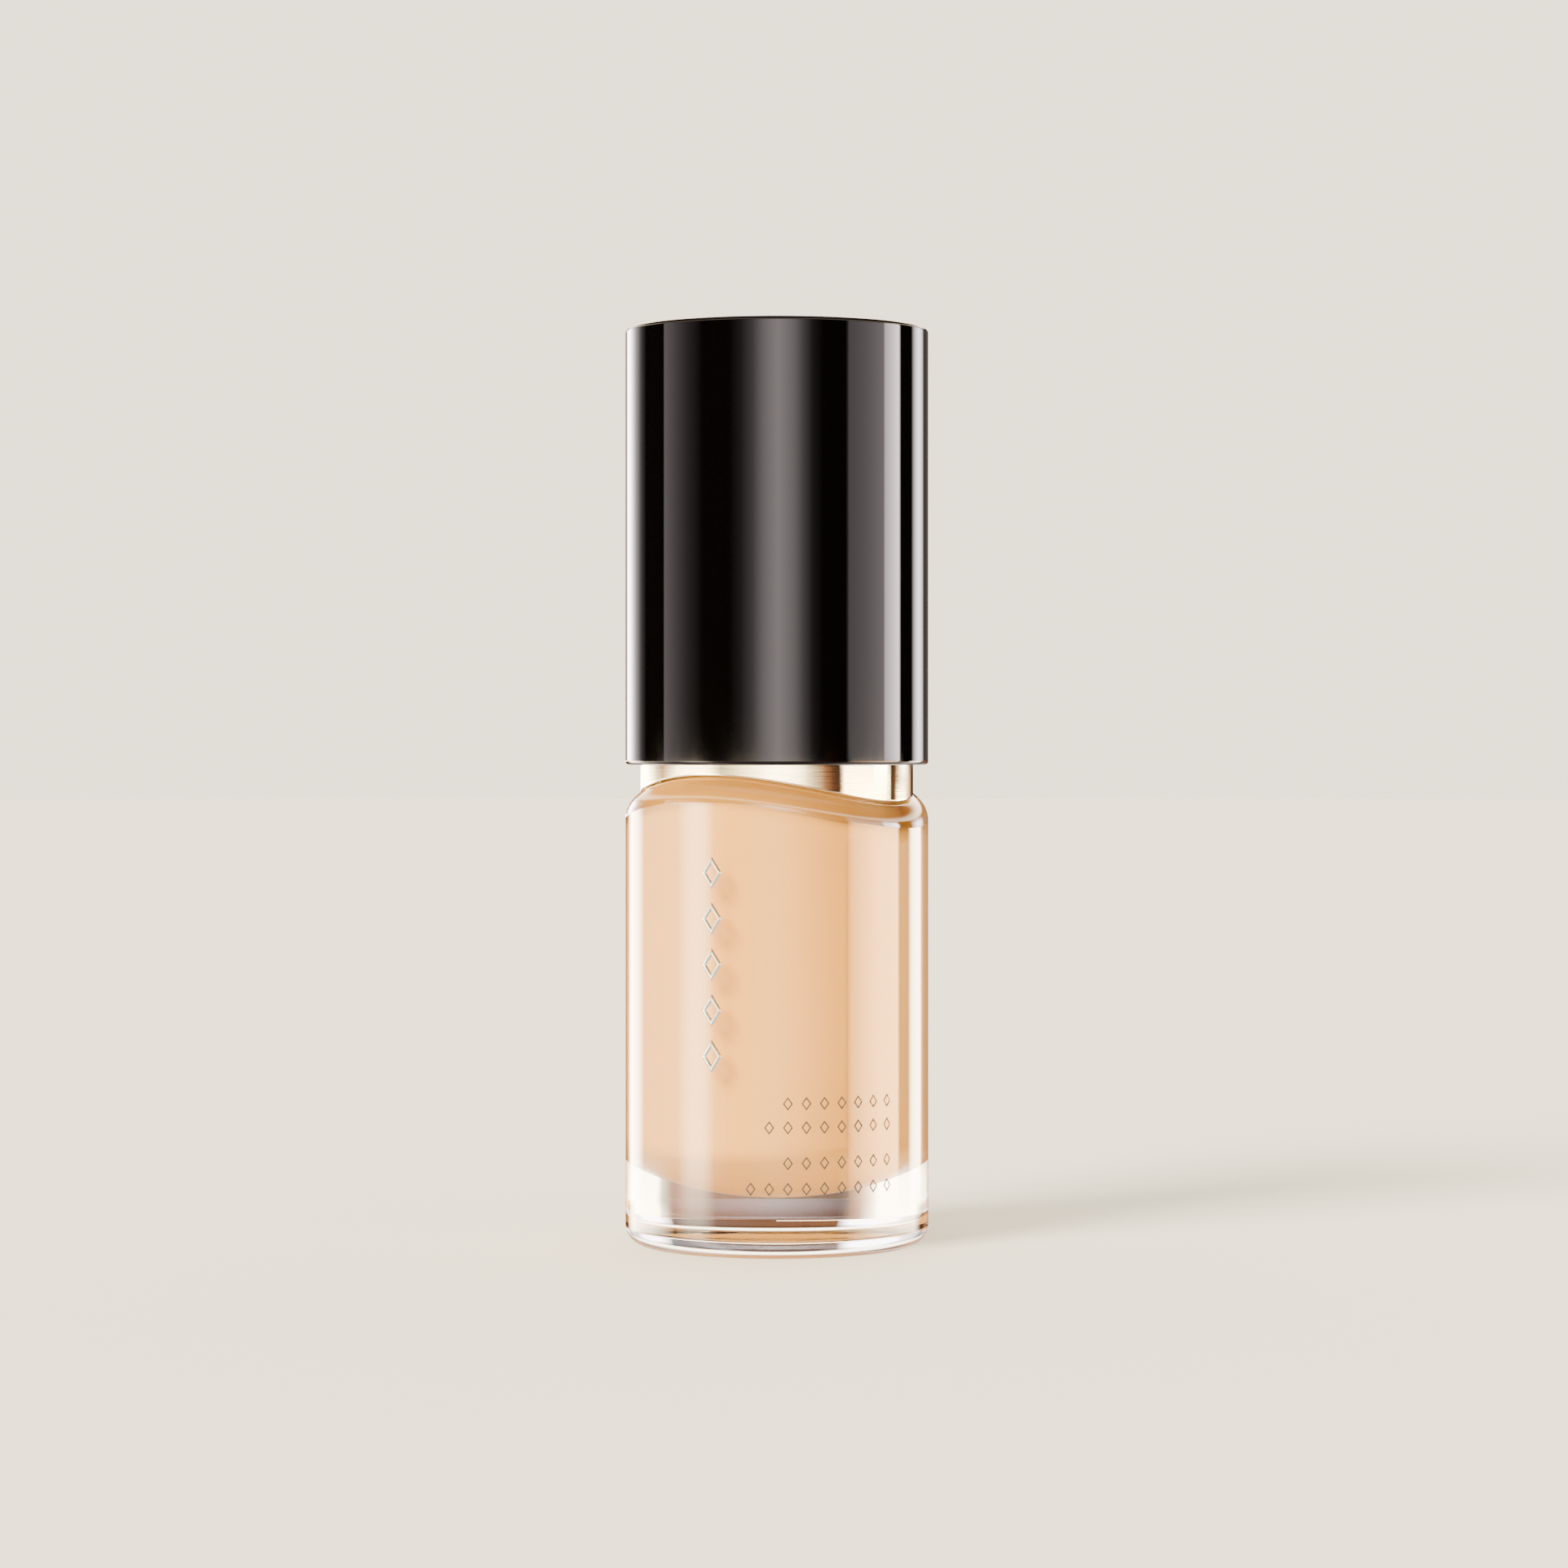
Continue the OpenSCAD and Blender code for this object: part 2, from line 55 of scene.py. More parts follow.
BODY_R = 18.0
CAVITY_R = 15.4
COLLAR_R = 16.2
CREST_Z = 55.4
WAVE_H = 3.1
CREST_AZIMUTH = math.radians(240)
WAVE_R = (COLLAR_R**2 + WAVE_H**2) / (2 * WAVE_H)
DECK_Z = 56.4
DECK_EDGE_R = 12.5
HEEL_R = 2.4
SHOULDER_ROUND = 2.9
SHOULDER_LIFT = 0.19
ROOF_T = 2.85
ROOF_ROUND = 1.9
BOWL_Z = 6.1
BOWL_R = 24.0
NECK_R = 8.95
BORE_R = 6.4
NECK_TOP_Z = 66.6
BEAD_Z = 58.4
THREAD_Z = 60.4
THREAD_R = 9.8
THREAD_TURNS = 1.5
PITCH = 3.175
CAP_RIM_Z = 56.9
CAP_TOP_Z = 108.5
COLLAR_TOP_Z = 64.0
NOZZLE_Z = 88.0

SHARP_ANGLE = 35  # edges steeper than this, in degrees, are shaded sharp


# ---- profiles ----


def shoulder_z(azimuth, r=COLLAR_R):
    """Height of the shoulder line: the cut of a wide horizontal cylinder."""
    u = r * math.sin(azimuth - CREST_AZIMUTH)
    return CREST_Z - WAVE_R + math.sqrt(WAVE_R**2 - u**2)


def mix(a, b, t):
    return a + (b - a) * t


def smooth(t):
    t = min(max(t, 0.0), 1.0)
    return t * t * (3 - 2 * t)


def arc(cx, cz, radius, start, end, steps):
    """Points on an arc, angles in degrees."""
    angles = [math.radians(mix(start, end, i / steps)) for i in range(steps + 1)]
    return [(cx + radius * math.cos(a), cz + radius * math.sin(a)) for a in angles]


def line(start, end, steps):
    """Points from start to end, without the start."""
    return [
        (mix(start[0], end[0], i / steps), mix(start[1], end[1], i / steps))
        for i in range(1, steps + 1)
    ]


def rounded(corners, closed=True, steps=5):
    """A profile through (r, z, radius) corners, each rounded by its radius.

    Guard points beside each arc keep the flats flat in the shading.
    """
    guard = 0.1
    count = len(corners)
    groups = []
    for i, (r, z, radius) in enumerate(corners):
        here = Vector((r, z))
        if radius <= 0 or (not closed and i in (0, count - 1)):
            groups.append([here])
            continue
        a = (Vector(corners[i - 1][:2]) - here).normalized()
        b = (Vector(corners[(i + 1) % count][:2]) - here).normalized()
        half = a.angle(b) / 2
        cut = radius / math.tan(half)
        centre = here + (a + b).normalized() * radius / math.sin(half)
        first = here + a * cut - centre
        last = here + b * cut - centre
        turn = math.atan2(first.x * last.y - first.y * last.x, first.dot(last))
        start = math.atan2(first.y, first.x)
        angles = [start + turn * s / steps for s in range(steps + 1)]
        groups.append([centre + radius * Vector((math.cos(t), math.sin(t))) for t in angles])
    points = []
    for i, group in enumerate(groups):
        points += group
        if i == count - 1 and not closed:
            break
        following = groups[(i + 1) % count][0]
        gap = following - group[-1]
        if gap.length > 4 * guard:
            step = gap.normalized() * guard
            points += [group[-1] + step, following - step]
    return [(p.x, p.y) for p in points]


# ---- mesh building ----


def mesh_object(name, verts, faces, sharp):
    """A smooth-shaded mesh object from millimetre vertices. Edges over sharp degrees stay crisp."""
    mesh = bpy.data.meshes.new(name)
    mesh.from_pydata([(x * MM, y * MM, z * MM) for x, y, z in verts], [], faces)
    mesh.validate()
    mesh.shade_smooth()
    mesh.set_sharp_from_angle(angle=math.radians(sharp))
    obj = bpy.data.objects.new(name, mesh)
    bpy.context.scene.collection.objects.link(obj)
    return obj


def ring_faces(a, b, count):
    """Quads between two rings that start at vertex a and b."""
    return [(a + i, a + (i + 1) % count, b + (i + 1) % count, b + i) for i in range(count)]


def turned(name, profile, segments=SEGMENTS, sharp=SHARP_ANGLE):
    """A turned solid. profile is a list of (r, z), or a function of azimuth that gives one.

    It runs anticlockwise in the r-z plane. With r = 0 at both ends it closes on the axis,
    otherwise it closes on itself.
    """
    make = profile if callable(profile) else (lambda azimuth: profile)
    azimuths = [2 * math.pi * i / segments for i in range(segments)]
    columns = [make(a) for a in azimuths]
    rows = len(columns[0])
    poles = abs(columns[0][0][0]) < 1e-9 and abs(columns[0][-1][0]) < 1e-9
    verts, starts = [], []
    for row in range(rows):
        if poles and row in (0, rows - 1):
            starts.append(len(verts))
            verts.append((0.0, 0.0, columns[0][row][1]))
            continue
        starts.append(len(verts))
        for a, column in zip(azimuths, columns):
            r, z = column[row]
            verts.append((r * math.cos(a), r * math.sin(a), z))
    faces = []
    for row in range(rows - 1 if poles else rows):
        a, b = starts[row], starts[(row + 1) % rows]
        if poles and row == 0:
            faces += [(a, b + (i + 1) % segments, b + i) for i in range(segments)]
        elif poles and row == rows - 2:
            faces += [(b, a + i, a + (i + 1) % segments) for i in range(segments)]
        else:
            faces += ring_faces(a, b, segments)
    return mesh_object(name, verts, faces, sharp)


def cut_with(obj, tool):
    """Cuts the tool's shape out of the piece and removes the tool."""
    cut = obj.modifiers.new("cut", "BOOLEAN")
    cut.operation = "DIFFERENCE"
    cut.object = tool
    view = bpy.context.evaluated_depsgraph_get()
    mesh = bpy.data.meshes.new_from_object(obj.evaluated_get(view))
    mesh.set_sharp_from_angle(angle=math.radians(SHARP_ANGLE))
    obj.modifiers.clear()
    obj.data = mesh
    bpy.data.objects.remove(tool)


def finish_piece(obj, body, node, material):
    """Puts a piece on its body, hides the CAD node it stands for, and gives it its finish."""
    obj.data.materials.clear()
    obj.data.materials.append(material)
    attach(obj, body)
    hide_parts(node)


# ---- materials ----

MIX_FACTOR, MIX_FIRST, MIX_SECOND, MIX_RESULT = 0, 6, 7, 2  # the Mix node's colour sockets


class Shader:
    """A small helper to write node trees."""

    def __init__(self, name):
        self.material = bpy.data.materials.new(name)
        self.material.use_nodes = True
        self.tree = self.material.node_tree
        self.tree.nodes.clear()
        self.output = self.add("ShaderNodeOutputMaterial")
        self.coords = self.add("ShaderNodeTexCoord").outputs["Object"]

    def add(self, kind, **inputs):
        node = self.tree.nodes.new(kind)
        for key, value in inputs.items():
            self.put(node, key.replace("_", " "), value)
        return node

    def put(self, node, key, value):
        if isinstance(value, bpy.types.NodeSocket):
            self.tree.links.new(value, node.inputs[key])
        else:
            node.inputs[key].default_value = value

    def noise(self, scale, detail=4.0, roughness=0.55, stretch=(1, 1, 1)):
        mapping = self.add("ShaderNodeMapping", Vector=self.coords, Scale=stretch)
        node = self.add("ShaderNodeTexNoise", Vector=mapping.outputs[0], Scale=scale, Detail=detail)
        self.put(node, "Roughness", roughness)
        return node.outputs[0]

    def remap(self, value, low, high, to_low, to_high):
        node = self.add("ShaderNodeMapRange", Value=value)
        ends = {"From Min": low, "From Max": high, "To Min": to_low, "To Max": to_high}
        for key, number in ends.items():
            self.put(node, key, number)
        return node.outputs[0]

    def tint(self, value, first, second):
        node = self.add("ShaderNodeMix")
        node.data_type = "RGBA"
        self.put(node, MIX_FACTOR, value)
        self.put(node, MIX_FIRST, (*first, 1))
        self.put(node, MIX_SECOND, (*second, 1))
        return node.outputs[MIX_RESULT]

    def bump(self, height, distance, strength):
        node = self.add("ShaderNodeBump", Height=height, Distance=distance, Strength=strength)
        return node.outputs[0]

    def principled(self, **inputs):
        return self.add("ShaderNodeBsdfPrincipled", **inputs)

    def done(self, shader):
        self.tree.links.new(shader.outputs[0], self.output.inputs["Surface"])
        return self.material


def clear_glass():
    """Polished moulded glass that lets lamps through to the liquid behind it."""
    s = Shader("clear_glass")
    ripple = s.bump(s.noise(90, 2.0, 0.4), 0.00002, 0.35)
    glass = s.principled(Roughness=0.0, IOR=1.5, Normal=ripple)
    glass.inputs["Transmission Weight"].default_value = 1.0
    glass.inputs["Coat Weight"].default_value = 0.25
    glass.inputs["Coat IOR"].default_value = 1.8
    glass.inputs["Coat Roughness"].default_value = 0.0
    colour = s.tint(s.noise(30, 2.0), (0.985, 0.992, 0.988), (0.995, 0.996, 0.994))
    s.put(glass, "Base Color", colour)
    clear = s.add("ShaderNodeBsdfTransparent", Color=(0.96, 0.97, 0.965, 1))
    path = s.add("ShaderNodeLightPath")
    lamp = s.add("ShaderNodeMath")
    lamp.operation = "MAXIMUM"
    s.put(lamp, 0, path.outputs["Is Shadow Ray"])
    s.put(lamp, 1, path.outputs["Is Diffuse Ray"])
    both = s.add("ShaderNodeMixShader")
    s.put(both, 0, lamp.outputs[0])
    s.put(both, 1, glass.outputs[0])
    s.put(both, 2, clear.outputs[0])
    return s.done(both)


def cream_liquid():
    """Opaque peach-beige cream, wetting the glass, with a faint drift of tone."""
    s = Shader("cream_liquid")
    drift = s.remap(s.noise(38, 3.0, 0.5, (1, 1, 0.45)), 0.3, 0.7, 0.0, 1.0)
    colour = s.tint(drift, (0.84, 0.385, 0.075), (0.87, 0.415, 0.09))
    fine = s.bump(s.noise(900, 3.0), 0.00001, 0.3)
    cream = s.principled(Base_Color=colour, Roughness=0.22, Normal=fine)
    cream.inputs["Specular IOR Level"].default_value = 0.12
    cream.inputs["Subsurface Weight"].default_value = 0.25
    cream.inputs["Subsurface Radius"].default_value = (1.0, 0.55, 0.3)
    cream.inputs["Subsurface Scale"].default_value = 0.0015
    return s.done(cream)


def gold_metal():
    """Polished pale gold aluminium with faint turning lines."""
    s = Shader("gold_metal")
    lines = s.noise(60, 3.0, 0.6, (1, 1, 90))
    rough = s.remap(lines, 0.3, 0.7, 0.03, 0.07)
    tone = s.tint(s.noise(120, 3.0), (0.80, 0.75, 0.49), (0.85, 0.80, 0.54))
    turning = s.bump(lines, 0.000004, 0.25)
    return s.done(s.principled(Base_Color=tone, Metallic=1.0, Roughness=rough, Normal=turning))


def foil_metal():
    """Hot-stamped champagne foil: bright, with the fine grain of a pressed film."""
    s = Shader("foil_metal")
    grain = s.noise(4200, 3.0)
    rough = s.remap(grain, 0.3, 0.7, 0.14, 0.26)
    tone = s.tint(s.noise(700, 2.0), (0.76, 0.79, 0.66), (0.86, 0.88, 0.76))
    pressed = s.bump(grain, 0.00001, 0.4)
    return s.done(s.principled(Base_Color=tone, Metallic=1.0, Roughness=rough, Normal=pressed))


def print_ink():
    """Thin dark grey film with slightly uneven cover."""
    s = Shader("print_ink")
    cover = s.remap(s.noise(5200, 4.0, 0.7), 0.35, 0.65, 0.0, 1.0)
    tone = s.tint(cover, (0.035, 0.03, 0.027), (0.06, 0.052, 0.045))
    film = s.bump(cover, 0.000008, 0.5)
    return s.done(s.principled(Base_Color=tone, Metallic=0.1, Roughness=0.5, Normal=film))


def piano_black():
    """Polished black plastic with a faint ripple and handling haze."""
    s = Shader("piano_black")
    haze = s.noise(260, 5.0, 0.6, (1, 1, 0.6))
    specks = s.noise(5200, 2.0)
    rough = s.remap(haze, 0.35, 0.75, 0.02, 0.05)
    tone = s.tint(specks, (0.0005, 0.0004, 0.0004), (0.0010, 0.0007, 0.0007))
    ripple = s.bump(s.noise(110, 2.0), 0.00001, 0.2)
    black = s.principled(Base_Color=tone, Roughness=rough, IOR=1.5, Normal=ripple)
    black.inputs["Specular IOR Level"].default_value = 0.25
    return s.done(black)


def moulded(name, first, second, low, high):
    """Moulded plastic or rubber: fine-textured skin, faint flow tone and uneven sheen."""
    s = Shader(name)
    skin = s.noise(2600, 4.0, 0.6)
    rough = s.remap(s.noise(300, 3.0), 0.3, 0.7, low, high)
    tone = s.tint(s.noise(140, 3.0), first, second)
    return s.done(s.principled(Base_Color=tone, Roughness=rough, Normal=s.bump(skin, 0.00002, 0.35)))


def drawn_steel():
    """Bright drawn or turned steel."""
    s = Shader("drawn_steel")
    lines = s.noise(500, 3.0, 0.6, (1, 1, 6))
    rough = s.remap(lines, 0.3, 0.7, 0.18, 0.32)
    tone = s.tint(lines, (0.56, 0.57, 0.58), (0.66, 0.67, 0.68))
    drawn = s.bump(lines, 0.000006, 0.3)
    return s.done(s.principled(Base_Color=tone, Metallic=1.0, Roughness=rough, Normal=drawn))


GLASS = clear_glass()
CREAM = cream_liquid()
GOLD = gold_metal()
FOIL = foil_metal()
INK = print_ink()
BLACK = piano_black()
BLACK_SATIN = moulded("black_satin", (0.012, 0.0105, 0.0105), (0.018, 0.016, 0.016), 0.34, 0.46)
WHITE = moulded("white_plastic", (0.80, 0.80, 0.775), (0.86, 0.86, 0.84), 0.32, 0.45)
TUBE = moulded("clear_tube", (0.84, 0.85, 0.85), (0.90, 0.90, 0.90), 0.22, 0.34)
SEAL = moulded("seal", (0.82, 0.82, 0.78), (0.88, 0.88, 0.85), 0.5, 0.65)
STEEL = drawn_steel()


# ---- glass and liquid ----

ROOF_FLAT_R = 11.5  # the cavity's roof is flat inside this radius
PUSH_R, PUSH_H = 13.4, 0.9  # the push-up under the base
NECK_ROUND = 0.35
THREAD_EASE = 30  # degrees over which each thread runs in and out
THREAD_HALF, THREAD_FLANK = 0.68, 0.46  # half the thread's foot, and how much of it is flank


def thread_rise(azimuth, z):
    """How far the thread stands out of the neck at this place."""
    best = 0.0
    for lap in range(2):
        turned_by = math.degrees(azimuth) + 360 * lap
        if turned_by > THREAD_TURNS * 360:
            continue
        away = abs(z - THREAD_Z - PITCH * turned_by / 360)
        flank = smooth((THREAD_HALF - away) / THREAD_FLANK)
        ends = min(turned_by, THREAD_TURNS * 360 - turned_by) / THREAD_EASE
        best = max(best, flank * smooth(ends))
    return (THREAD_R - NECK_R) * best


def roof_and_wall(azimuth, grow):
    """Cavity from the neck bore out along the roof, down the wall and along the bottom to the axis.

    grow moves it out into the glass by that much.
    """
    roof_edge = CAVITY_R - ROOF_ROUND
    edge_z = shoulder_z(azimuth) - ROOF_T + grow
    flat_z = DECK_Z - ROOF_T + grow
    radius = CAVITY_R + grow
    out = line((BORE_R + 0.5 + grow, flat_z), (ROOF_FLAT_R, flat_z), 5)
    for i in range(1, 9):
        t = i / 9
        out.append((mix(ROOF_FLAT_R, roof_edge, t), mix(flat_z, edge_z, smooth(t))))
    out += arc(roof_edge, edge_z - ROOF_ROUND - grow, ROOF_ROUND + grow, 90, 0, 12)
    corner = 2.2
    bowl_z = BOWL_Z + BOWL_R
    reach = BOWL_R - corner
    inner_r = CAVITY_R - corner
    inner_z = bowl_z - math.sqrt(reach**2 - inner_r**2)
    low_angle = math.degrees(math.atan2(inner_z - bowl_z, inner_r))
    wall_top = out[-1][1]
    out += line((radius, wall_top), (radius, inner_z + 0.2), 24)
    out += arc(inner_r, inner_z, corner + grow, 0, low_angle, 10)
    out += arc(0.0, bowl_z, BOWL_R + grow, low_angle, -90, 22)[1:]
    out[-1] = (0.0, out[-1][1])
    return out


def glass_profile(azimuth):
    """Anticlockwise from the axis: the push-up, the outside, over the lip, the bore and the cavity."""
    dome = (PUSH_R**2 + PUSH_H**2) / (2 * PUSH_H)
    out = [(0.0, PUSH_H)]
    for i in range(1, 15):
        r = PUSH_R * i / 15
        out.append((r, PUSH_H - dome + math.sqrt(dome**2 - r**2)))
    out += [(13.25, 0.012), (13.5, 0.0), (14.2, 0.0), (BODY_R - HEEL_R - 0.15, 0.0)]
    out += arc(BODY_R - HEEL_R, HEEL_R, HEEL_R, -90, 0, 16)
    crest = shoulder_z(azimuth) + SHOULDER_LIFT
    wall_end = crest - SHOULDER_ROUND
    out += line((BODY_R, HEEL_R), (BODY_R, wall_end - 0.1), 30)
    out += arc(BODY_R - SHOULDER_ROUND, wall_end, SHOULDER_ROUND, 0, 90, 20)
    for i in range(1, 9):
        t = i / 8
        out.append((mix(BODY_R - SHOULDER_ROUND, DECK_EDGE_R, t), mix(crest, DECK_Z, smooth(t))))
    out += line((DECK_EDGE_R, DECK_Z), (NECK_R + NECK_ROUND, DECK_Z), 3)
    out += arc(NECK_R + NECK_ROUND, DECK_Z + NECK_ROUND, NECK_ROUND, 270, 180, 5)[1:]
    out += [(NECK_R, BEAD_Z - 0.7)]
    bead = [(0.0, -0.62), (0.25, -0.5), (0.7, -0.36), (0.9, -0.2), (0.95, 0.0)]
    out += [(NECK_R + d, BEAD_Z + dz) for d, dz in bead]
    out += [(NECK_R + d, BEAD_Z - dz) for d, dz in reversed(bead[:-1])]
    low, high = BEAD_Z + 0.8, NECK_TOP_Z - 0.55
    for i in range(65):
        z = mix(low, high, i / 64)
        out.append((NECK_R + thread_rise(azimuth, z), z))
    out += arc(NECK_R - 0.5, NECK_TOP_Z - 0.5, 0.5, 0, 90, 6)
    out += arc(BORE_R + NECK_ROUND, NECK_TOP_Z - NECK_ROUND, NECK_ROUND, 90, 180, 5)
    roof_z = DECK_Z - ROOF_T
    out += line((BORE_R, NECK_TOP_Z - NECK_ROUND), (BORE_R, roof_z + 0.5), 6)
    out += arc(BORE_R + 0.5, roof_z + 0.5, 0.5, 180, 270, 5)[1:]
    return out + roof_and_wall(azimuth, 0.0)


LIQUID_OVERLAP = 0.03
LIQUID_TOP_Z = 55.0
# the pump's passage through the liquid, from the foot of the dip tube to the top
PASSAGE = [
    (0.0, 8.1), (1.92, 8.1), (1.92, 30.2), (3.0, 30.2), (3.0, 36.3), (3.9, 37.2),
    (3.9, 39.7), (5.5, 41.7), (5.5, LIQUID_TOP_Z),
]


def liquid_profile(azimuth):
    """The cavity, grown into the glass so that no air shows between them, less the pump's passage."""
    outside = roof_and_wall(azimuth, LIQUID_OVERLAP)
    neck = BORE_R - 0.02
    roof_z = DECK_Z - ROOF_T
    mouth = [(neck, LIQUID_TOP_Z), (neck, roof_z + 0.4), (BORE_R + 0.2, roof_z + 0.06)]
    return list(reversed(PASSAGE + mouth + outside))


bottle = turned("bottle_glass", glass_profile)
finish_piece(bottle, "bottle", "glass_bottle", GLASS)
liquid = turned("liquid_fill", liquid_profile)
finish_piece(liquid, "bottle", "foundation_liquid", CREAM)


# ---- marks on the glass ----


def on_wall(u, z, height):
    """A point u mm round the wall from the front, at height z, standing height off the glass."""
    a = u / BODY_R - math.pi / 2
    r = BODY_R + height
    return (r * math.cos(a), r * math.sin(a), z)


def closed_band(outlines):
    """Joins closed outlines of equal length into one ring-shaped solid, as vertices and faces."""
    count = len(outlines[0])
    verts = [p for outline in outlines for p in outline]
    faces = []
    for k in range(len(outlines)):
        faces += ring_faces(k * count, (k + 1) % len(outlines) * count, count)
    return verts, faces


def join_parts(name, parts, sharp):
    """One object from several (verts, faces) solids."""
    verts, faces = [], []
    for part_verts, part_faces in parts:
        base = len(verts)
        verts += part_verts
        faces += [tuple(base + i for i in f) for f in part_faces]
    return mesh_object(name, verts, faces, sharp)


def lozenge(half_w, half_h, inset, side):
    """Outline of a lozenge with side points on each side, moved in by inset along its normals."""
    slope = math.hypot(half_w, half_h)
    w = half_w - inset * slope / half_h
    h = half_h - inset * slope / half_w
    corners = [(w, 0), (0, h), (-w, 0), (0, -h)]
    out = []
    for i, (x, z) in enumerate(corners):
        nx, nz = corners[(i + 1) % 4]
        out += [(mix(x, nx, t / side), mix(z, nz, t / side)) for t in range(side)]
    return out


def open_lozenge(u, z, half, steps, side):
    """An open lozenge on the wall. steps are (how far in from its outline, how far off the glass)."""
    outlines = []
    for inset, height in steps:
        shape = lozenge(*half, inset, side)
        outlines.append([on_wall(u + x, z + dz, height) for x, dz in shape])
    return closed_band(outlines)


EMBLEM_U = math.radians(-24.6) * BODY_R
EMBLEM_HALF = (1.3, 1.9)
EMBLEM_TOP_Z, EMBLEM_PITCH, EMBLEM_COUNT = 44.5, 5.28, 5
EMBLEM_STEPS = [
    (0.0, -0.05), (0.0, 0.03), (0.06, 0.09), (0.14, 0.14), (0.17, 0.15), (0.33, 0.15), (0.36, 0.14),
    (0.44, 0.09), (0.5, 0.03), (0.5, -0.05),
]
foil_parts = []
for k in range(EMBLEM_COUNT):
    centre_z = EMBLEM_TOP_Z - EMBLEM_PITCH * k
    foil_parts.append(open_lozenge(EMBLEM_U, centre_z, EMBLEM_HALF, EMBLEM_STEPS, 10))
foil = join_parts("foil_lozenges", foil_parts, 50)
finish_piece(foil, "bottle", "foil_emblem", FOIL)

MARK_RIGHT = math.radians(47) * BODY_R
MARK_HALF = (0.575, 0.775)
MARK_PITCH = 2.15
MARK_ROWS = [(18.05, 7), (15.3, 8), (11.2, 7), (8.25, 9)]  # height, and how many
MARK_STEPS = [(0.0, -0.03), (0.0, 0.03), (0.02, 0.04), (0.12, 0.04), (0.14, 0.03), (0.14, -0.03)]
mark_parts = []
for row_z, count in MARK_ROWS:
    for k in range(count):
        centre_u = MARK_RIGHT - MARK_HALF[0] - k * MARK_PITCH
        mark_parts.append(open_lozenge(centre_u, row_z, MARK_HALF, MARK_STEPS, 4))
marks = join_parts("print_lozenges", mark_parts, 30)
finish_piece(marks, "bottle", "printed_marks", INK)


# ---- collar ----

COLLAR_WALL, COLLAR_HOLE_R, COLLAR_GAP = 0.5, 12.5, 0.27


def collar_profile(azimuth):
    """Thin skirt that follows the shoulder's wave, with a flat top that turns in over the carrier."""
    outer, inner, hole, top = COLLAR_R, COLLAR_R - COLLAR_WALL, COLLAR_HOLE_R, COLLAR_TOP_Z
    low = shoulder_z(azimuth) + COLLAR_GAP
    low_in = shoulder_z(azimuth, inner) + COLLAR_GAP
    return rounded([
        (inner, low_in, 0.08), (outer, low, 0.12), (outer, top, 0.4), (hole, top, 0.15),
        (hole, top - COLLAR_WALL, 0.1), (inner, top - COLLAR_WALL, 0.0),
    ])


collar = turned("collar_gold", collar_profile)
finish_piece(collar, "bottle", "gold_collar", GOLD)

carrier = turned(
    "collar_carrier_ring",
    rounded([
        (9.03, 56.45, 0.1), (15.7, 56.45, 0.2), (15.7, 63.5, 0.0), (12.6, 63.5, 0.1), (12.6, 62.5, 0.1),
        (14.7, 62.5, 0.3), (14.7, 57.45, 0.3), (11.2, 57.45, 0.1), (11.2, 57.9, 0.1), (9.03, 57.9, 0.1),
    ]),
)
finish_piece(carrier, "bottle", "collar_carrier", BLACK_SATIN)


# ---- overcap ----

CAP_ROOF_Z, CAP_INNER_R, CAP_EDGE = CAP_TOP_Z - 1.7, 17, 0.35
cap = turned(
    "overcap_shell",
    rounded([
        (0, CAP_ROOF_Z, 0), (CAP_INNER_R, CAP_ROOF_Z, 0.3), (CAP_INNER_R, CAP_RIM_Z, 0.12),
        (BODY_R, CAP_RIM_Z, CAP_EDGE), (BODY_R, CAP_TOP_Z, CAP_EDGE), (0, CAP_TOP_Z, 0),
    ], closed=False),
)
finish_piece(cap, "overcap", "cap_shell", BLACK)

LINER_TOP_Z = 104.8
liner_wall = turned(
    "overcap_liner",
    rounded([
        (0, LINER_TOP_Z - 1, 0), (14.4, LINER_TOP_Z - 1, 0.5), (14.4, 70.6, 0.3), (16.5, 69.8, 0.3),
        (16.5, 62.3, 0.1), (16.28, 61.95, 0.08), (16.28, 61.65, 0.08), (16.5, 61.3, 0.1),
        (16.5, 57.55, 0.1), (16.62, 57.15, 0.1), (CAP_INNER_R, 57.15, 0.1), (CAP_INNER_R, 71, 0.2),
        (15.2, 71.8, 0.2), (15.2, LINER_TOP_Z, 0.3), (0, LINER_TOP_Z, 0),
    ], closed=False),
)
RIB_COUNT, RIB_INNER_R, RIB_OUTER_R = 8, 14.9, 16.98
RIB_LEVELS = [(71.2, 0.4), (101.5, 0.4), (102.7, 0.25)]  # height, and half the rib's width there
rib_parts = []
for k in range(RIB_COUNT):
    turn = 2 * math.pi * k / RIB_COUNT
    across = Vector((-math.sin(turn), math.cos(turn)))
    along = Vector((math.cos(turn), math.sin(turn)))
    corners = []
    for z, half in RIB_LEVELS:
        rim = ((RIB_INNER_R, -half), (RIB_OUTER_R, -half), (RIB_OUTER_R, half), (RIB_INNER_R, half))
        for r, side in rim:
            spot = along * r + across * side
            corners.append((spot.x, spot.y, z))
    walls = ring_faces(0, 4, 4) + ring_faces(4, 8, 4)
    rib_parts.append((corners, walls + [(3, 2, 1, 0), (8, 9, 10, 11)]))
liner_ribs = join_parts("overcap_liner_ribs", rib_parts, 30)
finish_piece(liner_wall, "overcap", "cap_liner", BLACK_SATIN)
finish_piece(liner_ribs, "overcap", "cap_liner", BLACK_SATIN)

weight = turned(
    "overcap_weight",
    rounded([(3, 104.8, 0.2), (13, 104.8, 0.25), (13, 106.6, 0.25), (3, 106.6, 0.2)]),
)
finish_piece(weight, "overcap", "cap_weight", STEEL)


# ---- closure ----

